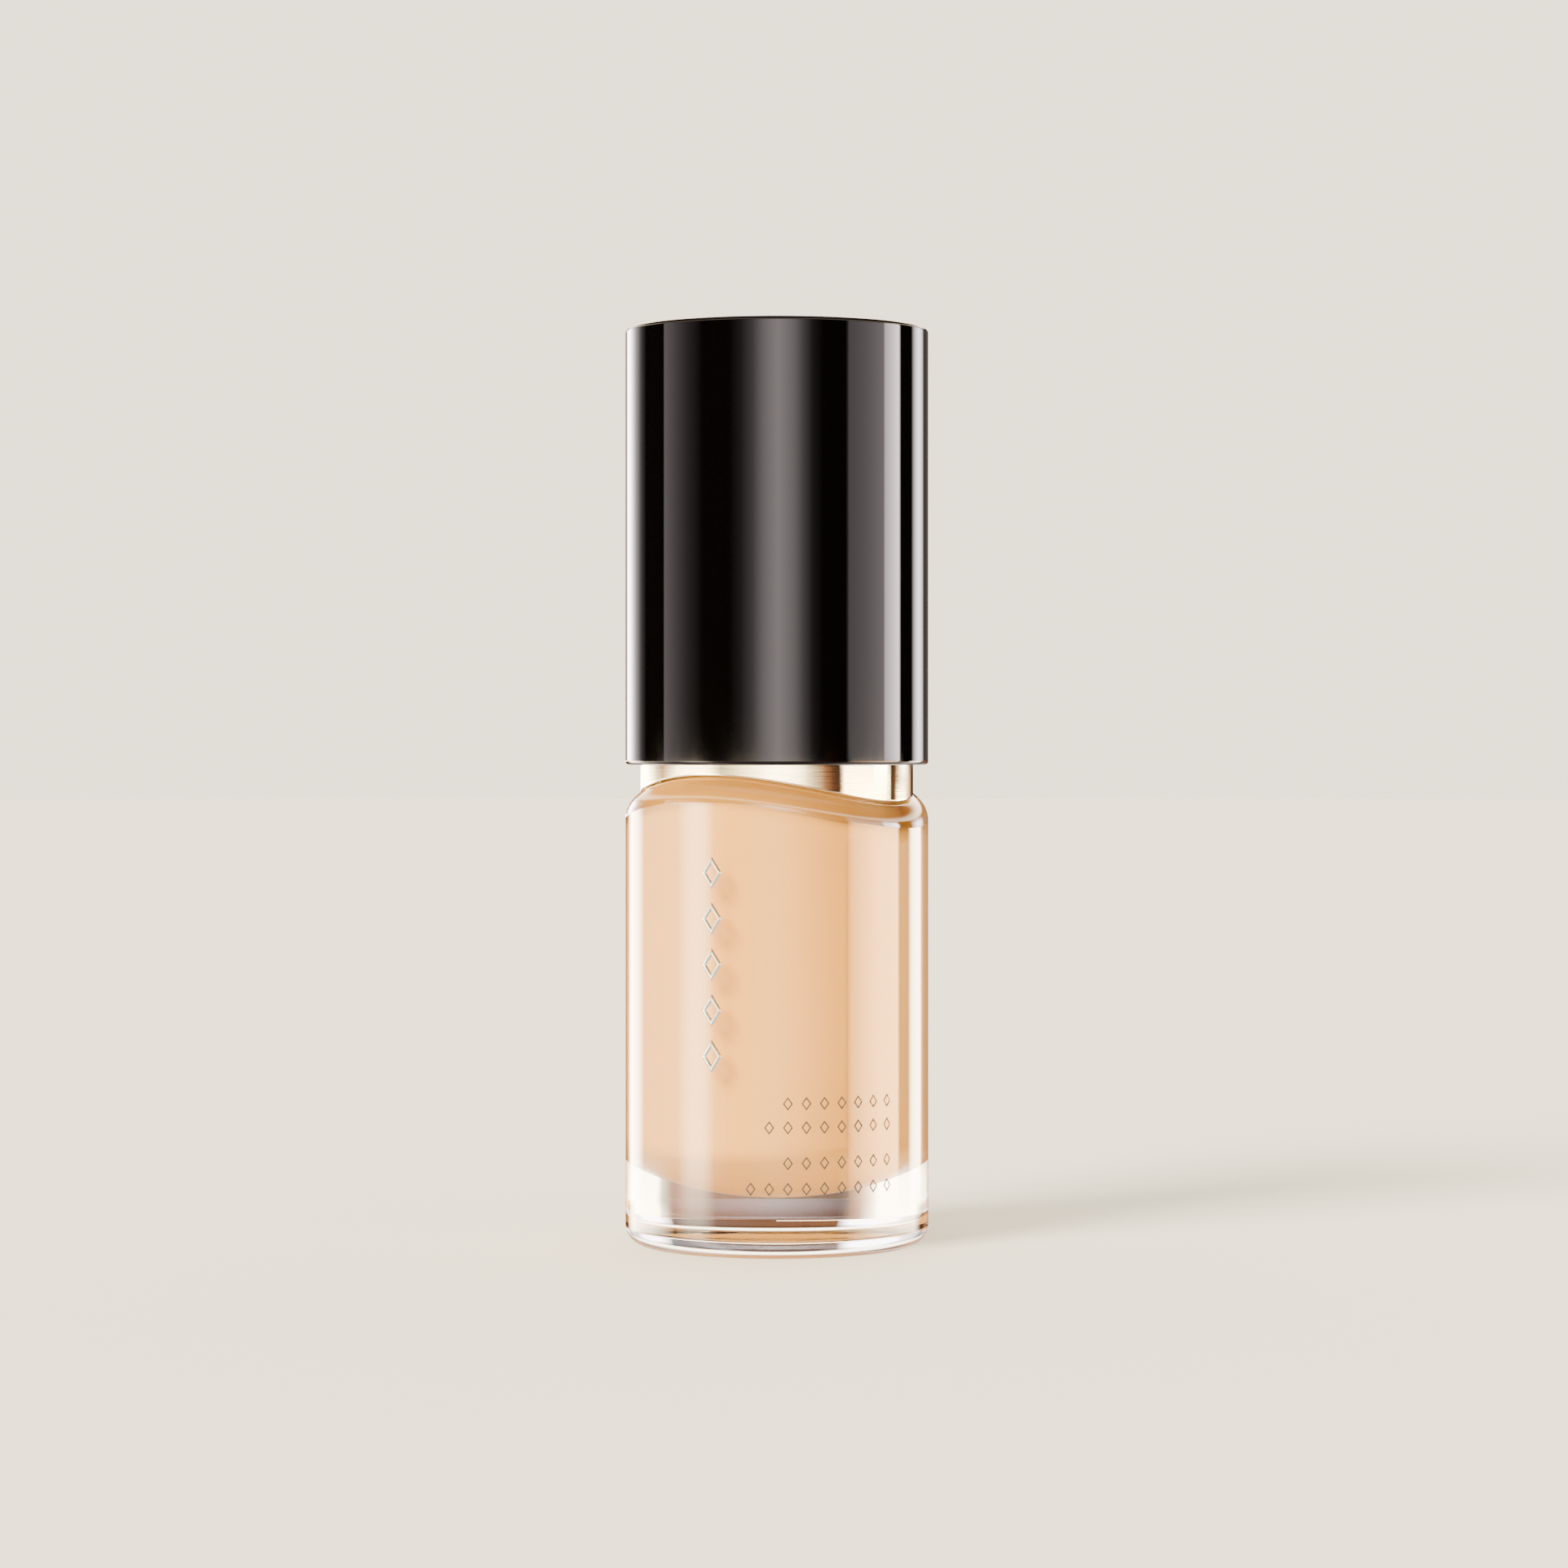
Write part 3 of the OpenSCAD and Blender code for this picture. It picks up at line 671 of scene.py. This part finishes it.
CLOSURE_R, CLOSURE_WALL_R, CLOSURE_CREST_R = 12.0, 10.05, 9.15
CLOSURE_LOW_Z, CLOSURE_ROOF_Z, CLOSURE_TOP_Z, CLOSURE_HOLE_R = 59.1, 68.35, 69.6, 6.9
INNER_THREAD_FROM, INNER_THREAD_SHIFT = 90, 0.95  # degrees round, and mm below the neck's thread
INNER_THREAD_HALF, INNER_THREAD_FLANK = 0.66, 0.42
FLUTES, FLUTE_R, FLUTE_CENTRE_R = 48, 0.4, 12.15
FLUTE_LOW_Z, FLUTE_TOP_Z = 64.9, 68.5


def flute_cut(azimuth):
    """Depth of the grip flutes at this azimuth."""
    step = 2 * math.pi / FLUTES
    off = (azimuth + step / 2) % step - step / 2
    across = FLUTE_CENTRE_R * off
    if abs(across) >= FLUTE_R:
        return 0.0
    return max(0.0, CLOSURE_R - FLUTE_CENTRE_R + math.sqrt(FLUTE_R**2 - across**2))


def inner_thread(azimuth, z):
    """How far the closure's own thread stands in from its wall."""
    best = 0.0
    for lap in range(2):
        turned_by = math.degrees(azimuth) + 360 * lap
        if not INNER_THREAD_FROM <= turned_by <= THREAD_TURNS * 360:
            continue
        away = abs(z - THREAD_Z + INNER_THREAD_SHIFT - PITCH * turned_by / 360)
        flank = smooth((INNER_THREAD_HALF - away) / INNER_THREAD_FLANK)
        ends = min(turned_by - INNER_THREAD_FROM, THREAD_TURNS * 360 - turned_by) / THREAD_EASE
        best = max(best, flank * smooth(ends))
    return (CLOSURE_WALL_R - CLOSURE_CREST_R) * best


def closure_profile(azimuth):
    """Anticlockwise from the foot: the fluted outside, the top, the hole and the threaded inside."""
    cut = flute_cut(azimuth)
    out = [(CLOSURE_WALL_R + 0.3, CLOSURE_LOW_Z), (CLOSURE_R - 0.3, CLOSURE_LOW_Z)]
    out += arc(CLOSURE_R - 0.2, CLOSURE_LOW_Z + 0.2, 0.2, -60, 0, 4)
    out += line((CLOSURE_R, CLOSURE_LOW_Z + 0.3), (CLOSURE_R, FLUTE_LOW_Z - 0.12), 3)
    out += [(CLOSURE_R - cut * t, FLUTE_LOW_Z + 0.12 * t) for t in (0.35, 0.8, 1.0)]
    out += line((CLOSURE_R - cut, FLUTE_LOW_Z + 0.2), (CLOSURE_R - cut, FLUTE_TOP_Z - 0.2), 4)
    out += [(CLOSURE_R - cut * t, FLUTE_TOP_Z - 0.12 * t) for t in (1.0, 0.8, 0.35)]
    out += [(CLOSURE_R, FLUTE_TOP_Z + 0.12), (CLOSURE_R, CLOSURE_TOP_Z - 0.55)]
    out += arc(CLOSURE_R - 0.4, CLOSURE_TOP_Z - 0.4, 0.4, 0, 90, 8)
    out += [(r, CLOSURE_TOP_Z) for r in (CLOSURE_R - 0.55, 9.0, CLOSURE_HOLE_R + 0.4)]
    out += arc(CLOSURE_HOLE_R + 0.25, CLOSURE_TOP_Z - 0.25, 0.25, 90, 180, 5)
    out += [(CLOSURE_HOLE_R, CLOSURE_ROOF_Z + 0.15), (CLOSURE_HOLE_R + 0.15, CLOSURE_ROOF_Z)]
    out += [(9.0, CLOSURE_ROOF_Z), (CLOSURE_WALL_R - 0.3, CLOSURE_ROOF_Z)]
    out += arc(CLOSURE_WALL_R - 0.2, CLOSURE_ROOF_Z - 0.2, 0.2, 90, 0, 4)
    low, high = CLOSURE_LOW_Z + 0.35, CLOSURE_ROOF_Z - 0.35
    for i in range(61):
        z = mix(high, low, i / 60)
        out.append((CLOSURE_WALL_R - inner_thread(azimuth, z), z))
    return out


closure = turned("closure_cap", closure_profile, segments=576, sharp=40)
finish_piece(closure, "closure", "screw_closure", BLACK)


# ---- pump engine ----

housing = turned(
    "pump_housing_body",
    rounded([
        (9.4, 67.3, 0.15), (9.4, 68.3, 0.15), (5.22, 68.3, 0.15), (5.22, 61.5, 0.1), (4.1, 61.5, 0.15),
        (4.1, 43.5, 0.1), (1.45, 43.5, 0.1), (1.45, 42.6, 0.1), (2.3, 42.6, 0.1), (2.3, 38.8, 0.3),
        (1.1, 37.6, 0.2), (1.1, 36.2, 0.1), (1.62, 36.2, 0.05), (1.62, 30.5, 0.1), (2.7, 30.5, 0.2),
        (2.7, 36.6, 0.3), (3.6, 37.5, 0.3), (3.6, 40, 0.4), (5.2, 42, 0.5), (5.2, 59.6, 0.4),
        (6.1, 60.5, 0.4), (6.1, 67.3, 0.2),
    ]),
    96,
)
finish_piece(housing, "pump_core", "pump_housing", WHITE)

gasket = turned(
    "neck_seal",
    rounded([(6.5, 66.62, 0.1), (9.4, 66.62, 0.1), (9.4, 67.3, 0.1), (6.5, 67.3, 0.1)]),
    96,
)
finish_piece(gasket, "pump_core", "neck_gasket", SEAL)

turret = turned(
    "pump_turret",
    rounded([
        (2.28, 61.5, 0.1), (5.2, 61.5, 0.15), (5.2, 68.3, 0.05), (6.4, 68.3, 0.08), (6.4, 74.3, 0.45),
        (4.2, 74.3, 0.2), (4.2, 63.5, 0.2), (2.28, 63.5, 0.15),
    ]),
    144,
)
finish_piece(turret, "pump_core", "turret", WHITE)


TUBE_INNER_R, TUBE_OUTER_R, TUBE_LOW_Z, TUBE_TOP_Z = 1.0, 1.6, 8.4, 36.2
TUBE_SLANT = math.tan(math.radians(20))


def tube_profile(azimuth):
    """Open tube, cut slanted at its foot."""
    inner, outer, top = TUBE_INNER_R, TUBE_OUTER_R, TUBE_TOP_Z
    foot = [TUBE_LOW_Z + (r * math.cos(azimuth) + 1.62) * TUBE_SLANT for r in (inner, outer)]
    wall = line((outer, foot[1]), (outer, top - 0.1), 12)
    bore = line((inner, top - 0.1), (inner, foot[0]), 12)
    lip = [(outer - 0.1, top), (inner + 0.1, top)]
    return [(inner, foot[0]), (outer, foot[1])] + wall + lip + bore[:-1]


tube = turned("dip_tube_straw", tube_profile, 64)
finish_piece(tube, "pump_core", "dip_tube", TUBE)

SPRING_LOW_Z, SPRING_TOP_Z, SPRING_R, WIRE_R = 43.5, 53.9, 2.9, 0.35
LIVE_TURNS, DEAD_TURNS, WIRE_STEPS, WIRE_SIDES = 5, 1, 48, 16


def spring_lump():
    """Round wire wound with a closed turn at each end, its end faces a little eased."""
    dead_pitch = 2 * WIRE_R + 0.06
    low, high = SPRING_LOW_Z + WIRE_R + 0.02, SPRING_TOP_Z - WIRE_R - 0.02
    turns = LIVE_TURNS + 2 * DEAD_TURNS
    live_pitch = (high - low - 2 * DEAD_TURNS * dead_pitch) / LIVE_TURNS
    count = turns * WIRE_STEPS
    verts, faces = [], []
    for i in range(count + 1):
        t = i / WIRE_STEPS
        if t < DEAD_TURNS:
            z = low + t * dead_pitch
        elif t < DEAD_TURNS + LIVE_TURNS:
            z = low + DEAD_TURNS * dead_pitch + (t - DEAD_TURNS) * live_pitch
        else:
            z = high - (turns - t) * dead_pitch
        wire = WIRE_R * (0.8 if i in (0, count) else 1.0)
        for k in range(WIRE_SIDES):
            b = 2 * math.pi * k / WIRE_SIDES
            r = SPRING_R + wire * math.cos(b)
            a = 2 * math.pi * t
            verts.append((r * math.cos(a), r * math.sin(a), z + wire * math.sin(b)))
    for i in range(count):
        faces += ring_faces((i + 1) * WIRE_SIDES, i * WIRE_SIDES, WIRE_SIDES)
    last_ring = range(count * WIRE_SIDES, (count + 1) * WIRE_SIDES)
    faces += [tuple(range(WIRE_SIDES)), tuple(reversed(last_ring))]
    return verts, faces


spring = join_parts("pump_spring", [spring_lump()], 50)
finish_piece(spring, "pump_core", "return_spring", STEEL)
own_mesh(spring)

BALL_R, BALL_Z = 1.75, 39.0
half_circle = [(max(0.0, r), z) for r, z in arc(0, BALL_Z, BALL_R, -90, 90, 32)]
ball = turned("valve_ball_steel", half_circle, 64)
finish_piece(ball, "valve_ball", "inlet_ball", STEEL)

SEAL_Z = 55.35
seal = turned(
    "piston_cup",
    rounded([
        (2.25, SEAL_Z, 0.1), (3.1, SEAL_Z, 0.1), (3.1, SEAL_Z + 1.9, 0.1), (3.56, SEAL_Z + 1.9, 0.05),
        (3.61, SEAL_Z + 0.2, 0.03), (4.06, SEAL_Z + 0.1, 0.03), (3.94, SEAL_Z + 2.2, 0.4),
        (4.06, SEAL_Z + 4.4, 0.03), (3.61, SEAL_Z + 4.3, 0.03), (3.56, SEAL_Z + 2.7, 0.05),
        (3.1, SEAL_Z + 2.7, 0.1), (3.1, SEAL_Z + 4.9, 0.1), (2.25, SEAL_Z + 4.9, 0.1),
    ]),
    96,
)
finish_piece(seal, "plunger", "piston_seal", SEAL)


# ---- pump head ----

HEAD_R, HEAD_LOW_Z, HEAD_TOP_Z, HEAD_WALL = 9.6, 73.8, 97.0, 1.0
DISH_R, DISH_DEPTH = 7.6, 0.35
SPOUT_ROOT_R, SPOUT_TIP_R, SPOUT_REACH, SPOUT_BORE_R = 2.59, 2.0, 13.4, 0.9


def head_profile():
    """Thin shell with a dished press face."""
    roof_in, inner = HEAD_TOP_Z - 1.2, HEAD_R - HEAD_WALL
    out = rounded([
        (0, roof_in, 0), (inner, roof_in, 0.3), (inner, HEAD_LOW_Z, 0.15), (HEAD_R, HEAD_LOW_Z, 0.2),
        (HEAD_R, HEAD_TOP_Z, 0.8), (DISH_R, HEAD_TOP_Z, 0),
    ], closed=False, steps=9)
    for i in range(1, 13):
        t = i / 12
        out.append((DISH_R * (1 - t), HEAD_TOP_Z - DISH_DEPTH * smooth(t * 1.6)))
    return out


head = turned("pump_head_shell", head_profile(), 192)
drill_r, drill_from, drill_to = SPOUT_ROOT_R + 0.01, 5.0, 13.0
drill_profile = [(0, drill_from), (drill_r, drill_from), (drill_r, drill_to), (0, drill_to)]
drill = turned("drill", drill_profile, 96)
along_spout = Matrix.Translation((0, 0, NOZZLE_Z * MM)) @ Matrix.Rotation(math.pi / 2, 4, "X")
drill.data.transform(along_spout)
cut_with(head, drill)
finish_piece(head, "head", "actuator_shell", BLACK)

spout = turned(
    "pump_spout",
    rounded([
        (1.2, 4.8, 0.05), (1.9, 4.8, 0.1), (1.9, 8.6, 0.05), (SPOUT_ROOT_R, 8.6, 0.05),
        (SPOUT_ROOT_R, HEAD_R + 0.3, 0.6), (SPOUT_TIP_R, SPOUT_REACH, 0.45),
        (SPOUT_BORE_R, SPOUT_REACH, 0.25), (SPOUT_BORE_R, HEAD_R + 1, 0.1), (1.2, HEAD_R, 0.1),
    ]),
    144,
)
spout.data.transform(along_spout)
finish_piece(spout, "head", "nozzle_spout", BLACK)

# two CAD nodes keep their shape and only get a material
for node, material in (("pump_stem", WHITE), ("actuator_core", BLACK_SATIN)):
    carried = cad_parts[node]
    for spot in carried.material_slots:
        spot.material = material


# ---- stage ----

FLOOR_TONE = (0.74, 0.755, 0.80)
FLOOR_DRIFT = 1.012  # how far the tone drifts across the floor
FLOOR_R, FLOOR_LOW_Z, FLOOR_TOP_Z = 4000.0, -2.0, -0.02


def plain_floor():
    """Matt pale surface with a faint drift of tone."""
    s = Shader("plain_floor")
    tone = s.tint(s.noise(9, 3.0), FLOOR_TONE, [FLOOR_DRIFT * v for v in FLOOR_TONE])
    fine = s.bump(s.noise(700, 2.0), 0.00004, 0.1)
    plain = s.principled(Base_Color=tone, Roughness=0.9, Normal=fine)
    plain.inputs["Specular IOR Level"].default_value = 0.0
    return s.done(plain)


floor_corners = [(0.0, FLOOR_LOW_Z), (FLOOR_R, FLOOR_LOW_Z), (FLOOR_R, FLOOR_TOP_Z), (0.0, FLOOR_TOP_Z)]
floor = turned("floor", floor_corners, 96)
floor.data.materials.append(plain_floor())
floor.visible_glossy = False
floor.visible_transmission = False


# ---- light ----

# The light that gloss, metal and glass mirror. It isn't a plain studio: its azimuths and strengths were
# fitted to the brightness measured across each part in the photo, and it is layered by height so that
# each part mirrors its own table from the photo's camera. From other angles the layers slide.
# Each stop is the azimuth that the mirrored light comes from, in degrees from the photo's camera and
# + to the right, and its brightness. The upper panels show in the cap, the collar's in the collar, the
# lower in the glass round the liquid, and the base ones in the clear base. A colour ramp holds 32
# stops at most.
UPPER_PANELS = [
    (-180, 0.1), (-164, 0.12), (-152, 32.0), (-143, 12.0), (-136, 3.8), (-126, 0.8), (-118, 0.02),
    (-95.5, 0.02), (-94.5, 3.4), (-85, 2.5), (-71, 0.94), (-58, 0.02), (-36, 0.02), (-27, 0.6),
    (-18, 2.4), (-9, 6.8), (1, 10.2), (13, 6.2), (20, 2.6), (27, 0.5), (35, 0.02), (54.6, 0.02),
    (55.4, 3.0), (70, 4.0), (88.8, 5.6), (89.4, 18.0), (106.2, 36.0), (107.2, 0.02), (124, 0.02),
    (136, 17.0), (149, 0.2), (180, 0.1),
]
COLLAR_PANELS = [
    (-180, 20.0), (-144, 20.0), (-132, 9.0), (-123, 3.2), (-112, 1.3), (-104, 4.0), (-95, 10.0),
    (-81, 20.0), (-64, 20.0), (-54, 6.0), (-48, 2.8), (-38, 5.0), (-26, 9.0), (-5, 16.0),
    (16, 14.0), (26, 5.0), (31, 2.4), (41, 0.5), (48, 0.15), (55, 0.05), (57, 0.05), (59, 16.0),
    (96, 12.0), (109.5, 9.0), (112.5, 0.06), (118, 0.12), (123, 0.6), (132, 4.5), (140, 4.0),
    (149, 1.4), (158, 0.05), (180, 0.02),
]
LOWER_PANELS = [
    (-180, 0.1), (-163, 0.06), (-157, 0.5), (-152, 5.0), (-144, 38.0), (-132, 30.0), (-121, 3.0),
    (-80, 6.0), (-68, 24.0), (-58, 24.0), (-48, 3.4), (-36, 1.5), (-24, 1.8), (-9, 2.6), (0, 2.8),
    (8, 2.4), (18, 1.6), (26, 1.0), (35, 0.5), (44, 0.1), (55, 0.05), (57, 7.0), (64, 13.0),
    (84, 24.0), (104, 22.0), (106, 0.1), (119, 0.1), (125, 34.0), (138, 34.0), (143, 3.0),
    (148, 0.3), (180, 0.1),
]
BASE_PANELS = [
    (-180, 0.1), (-166, 0.05), (-162, 0.03), (-158, 0.3), (-154, 1.2), (-149, 9.0), (-141, 30.0),
    (-110, 24.0), (-84, 0.5), (-70, 6.0), (-60, 7.0), (-46, 0.4), (46, 0.3), (60, 4.0), (84, 20.0),
    (108, 24.0), (128, 20.0), (134, 5.0), (140, 0.3), (145, 0.12), (151, 0.45), (156, 0.4),
    (163, 0.22), (172, 0.2), (180, 0.1),
]
# the upper panels die away upwards, and a calmer copy of the lower ones lies below the rest
FADE = 0.25
FADED_PANELS = [(angle, FADE * value) for angle, value in UPPER_PANELS]
UNDER_BASE, UNDER_SHARE, UNDER_LIMIT = 0.7, 0.2, 30.0
UNDER_PANELS = [
    (angle, UNDER_BASE + UNDER_SHARE * min(value, UNDER_LIMIT)) for angle, value in LOWER_PANELS
]

UPPER_TINT = (1.14, 1.0, 1.0)
LOWER_TINT = (1.2, 1.0, 0.72)
WARM_TINT = (1.9, 1.0, 0.4)
WARM_FROM, WARM_TO = 50, 106  # azimuths between which the lower panels are warm
SHADE_TINT = (2.4, 1.0, 0.55)
SHADE_BELOW = 3.0  # brightness under which a stop turns to the shade tint
BACK_ANGLE = 150  # the upper panels only do so beyond this azimuth, on either side
RIM_LIGHT = 7.0
DARK_RING = 0.12
TOP_LIGHT = 1.0
BACKGROUND = (2.72, 2.4, 1.83)


def studio_world():
    """The panels as layers by height for reflections, and a plain pale background for the camera."""
    world = bpy.data.worlds.new("studio")
    bpy.context.scene.world = world
    world.use_nodes = True
    world.cycles_visibility.diffuse = False
    tree = world.node_tree
    tree.nodes.clear()
    new, link = tree.nodes.new, tree.links.new
    split = new("ShaderNodeSeparateXYZ")
    link(new("ShaderNodeTexCoord").outputs["Generated"], split.inputs[0])

    def put(socket, value):
        if isinstance(value, bpy.types.NodeSocket):
            link(value, socket)
        else:
            socket.default_value = value

    def maths(kind, a, b):
        node = new("ShaderNodeMath")
        node.operation = kind
        put(node.inputs[0], a)
        put(node.inputs[1], b)
        return node.outputs[0]

    def step(value, low, high):
        node = new("ShaderNodeMapRange")
        node.interpolation_type = "SMOOTHSTEP"
        link(value, node.inputs["Value"])
        node.inputs["From Min"].default_value = low
        node.inputs["From Max"].default_value = high
        return node.outputs[0]

    def blend(factor, first, second):
        node = new("ShaderNodeMix")
        node.data_type = "RGBA"
        put(node.inputs[MIX_FACTOR], factor)
        put(node.inputs[MIX_FIRST], first)
        put(node.inputs[MIX_SECOND], second)
        return node.outputs[MIX_RESULT]

    peak = max(value for _, value in UPPER_PANELS + LOWER_PANELS) * max(WARM_TINT)
    flipped = maths("MULTIPLY", split.outputs["Y"], -1.0)
    azimuth = maths("ARCTAN2", split.outputs["X"], flipped)
    place = maths("ADD", maths("DIVIDE", azimuth, 2 * math.pi), 0.5)

    def panels(table, colour):
        """Colour by azimuth from a table of stops. Dim stops lean to the shade tint."""
        ramp = new("ShaderNodeValToRGB")
        link(place, ramp.inputs[0])
        stops = ramp.color_ramp.elements
        while len(stops) < len(table):
            stops.new(0.5)
        for stop, (angle, value) in zip(stops, table):
            stop.position = angle / 360 + 0.5
            warm = table is LOWER_PANELS and WARM_FROM < angle < WARM_TO
            tint = WARM_TINT if warm else colour
            at_back = table is UPPER_PANELS and abs(angle) > BACK_ANGLE
            shaded = at_back or table in (COLLAR_PANELS, LOWER_PANELS, BASE_PANELS)
            shade = 1 - smooth(value / SHADE_BELOW) if shaded else 0
            stop.color = [value * mix(c, b, shade) / peak for c, b in zip(tint, SHADE_TINT)] + [1]
        return ramp.outputs[0]

    def even(value, colour):
        """The same colour from every side."""
        return [value * c / peak for c in colour] + [1]

    # upwards from straight below: the z of the direction where each layer starts to show, and where
    # it has covered the one before
    lit = panels(UNDER_PANELS, UPPER_TINT)
    layers = [
        (-0.22, -0.128, panels(BASE_PANELS, LOWER_TINT)),
        (-0.118, -0.095, panels(LOWER_PANELS, LOWER_TINT)),
        (-0.0152, -0.0142, panels(COLLAR_PANELS, LOWER_TINT)),
        (-0.006, -0.005, panels(UPPER_PANELS, UPPER_TINT)),
        (0.11, 0.2, panels(FADED_PANELS, UPPER_TINT)),
        (0.2, 0.27, even(RIM_LIGHT, LOWER_TINT)),
        (0.29, 0.44, even(DARK_RING, SHADE_TINT)),
        (0.75, 0.85, even(TOP_LIGHT, UPPER_TINT)),
    ]
    for start, end, colour in layers:
        lit = blend(step(split.outputs["Z"], start, end), lit, colour)
    glow = new("ShaderNodeBackground")
    link(lit, glow.inputs["Color"])
    glow.inputs["Strength"].default_value = peak
    plain = new("ShaderNodeBackground")
    plain.inputs["Color"].default_value = (*BACKGROUND, 1)
    seen = new("ShaderNodeMixShader")
    link(new("ShaderNodeLightPath").outputs["Is Camera Ray"], seen.inputs[0])
    link(glow.outputs[0], seen.inputs[1])
    link(plain.outputs[0], seen.inputs[2])
    link(seen.outputs[0], new("ShaderNodeOutputWorld").inputs[0])


studio_world()

# Soft lamps that only light what is dull: azimuth from the camera's side, elevation and spread in
# degrees, and strength.
LAMPS = {
    "key": (-46, 36, 24, 8.6),
    "fill": (10, 12, 120, 3.0),
    "top": (170, 72, 80, 4.5),
    "back": (180, 25, 90, 1.5),
}
LAMP_TINT = (1.0, 0.86, 0.58)
for name, (azimuth, elevation, spread, strength) in LAMPS.items():
    lamp_data = bpy.data.lights.new(name, "SUN")
    lamp_data.energy = strength / LAMP_TINT[1]  # so that strength is the green part
    lamp_data.angle = math.radians(spread)
    lamp_data.color = LAMP_TINT
    lamp = bpy.data.objects.new(name, lamp_data)
    lamp.rotation_euler = (math.radians(90 - elevation), 0, math.radians(azimuth))
    lamp.visible_glossy = False
    lamp.visible_transmission = False
    bpy.context.scene.collection.objects.link(lamp)


# ---- camera ----

FOCAL_PX, FRAME_PX, HORIZON_PX = 5125.0, 1932.0, 916.0  # fitted to the photo
EYE_Z, EYE_X, EYE_DISTANCE = 59.4, 0.84, 495.0
camera_data = bpy.data.cameras.new("camera")
camera_data.sensor_width = 36.0
camera_data.lens = FOCAL_PX / FRAME_PX * camera_data.sensor_width
camera_data.shift_y = (HORIZON_PX - FRAME_PX / 2) / FRAME_PX
camera = bpy.data.objects.new("camera", camera_data)
camera.location = (EYE_X * MM, -EYE_DISTANCE * MM, EYE_Z * MM)
camera.rotation_euler = (math.pi / 2, 0, 0)
bpy.context.scene.collection.objects.link(camera)
bpy.context.scene.camera = camera
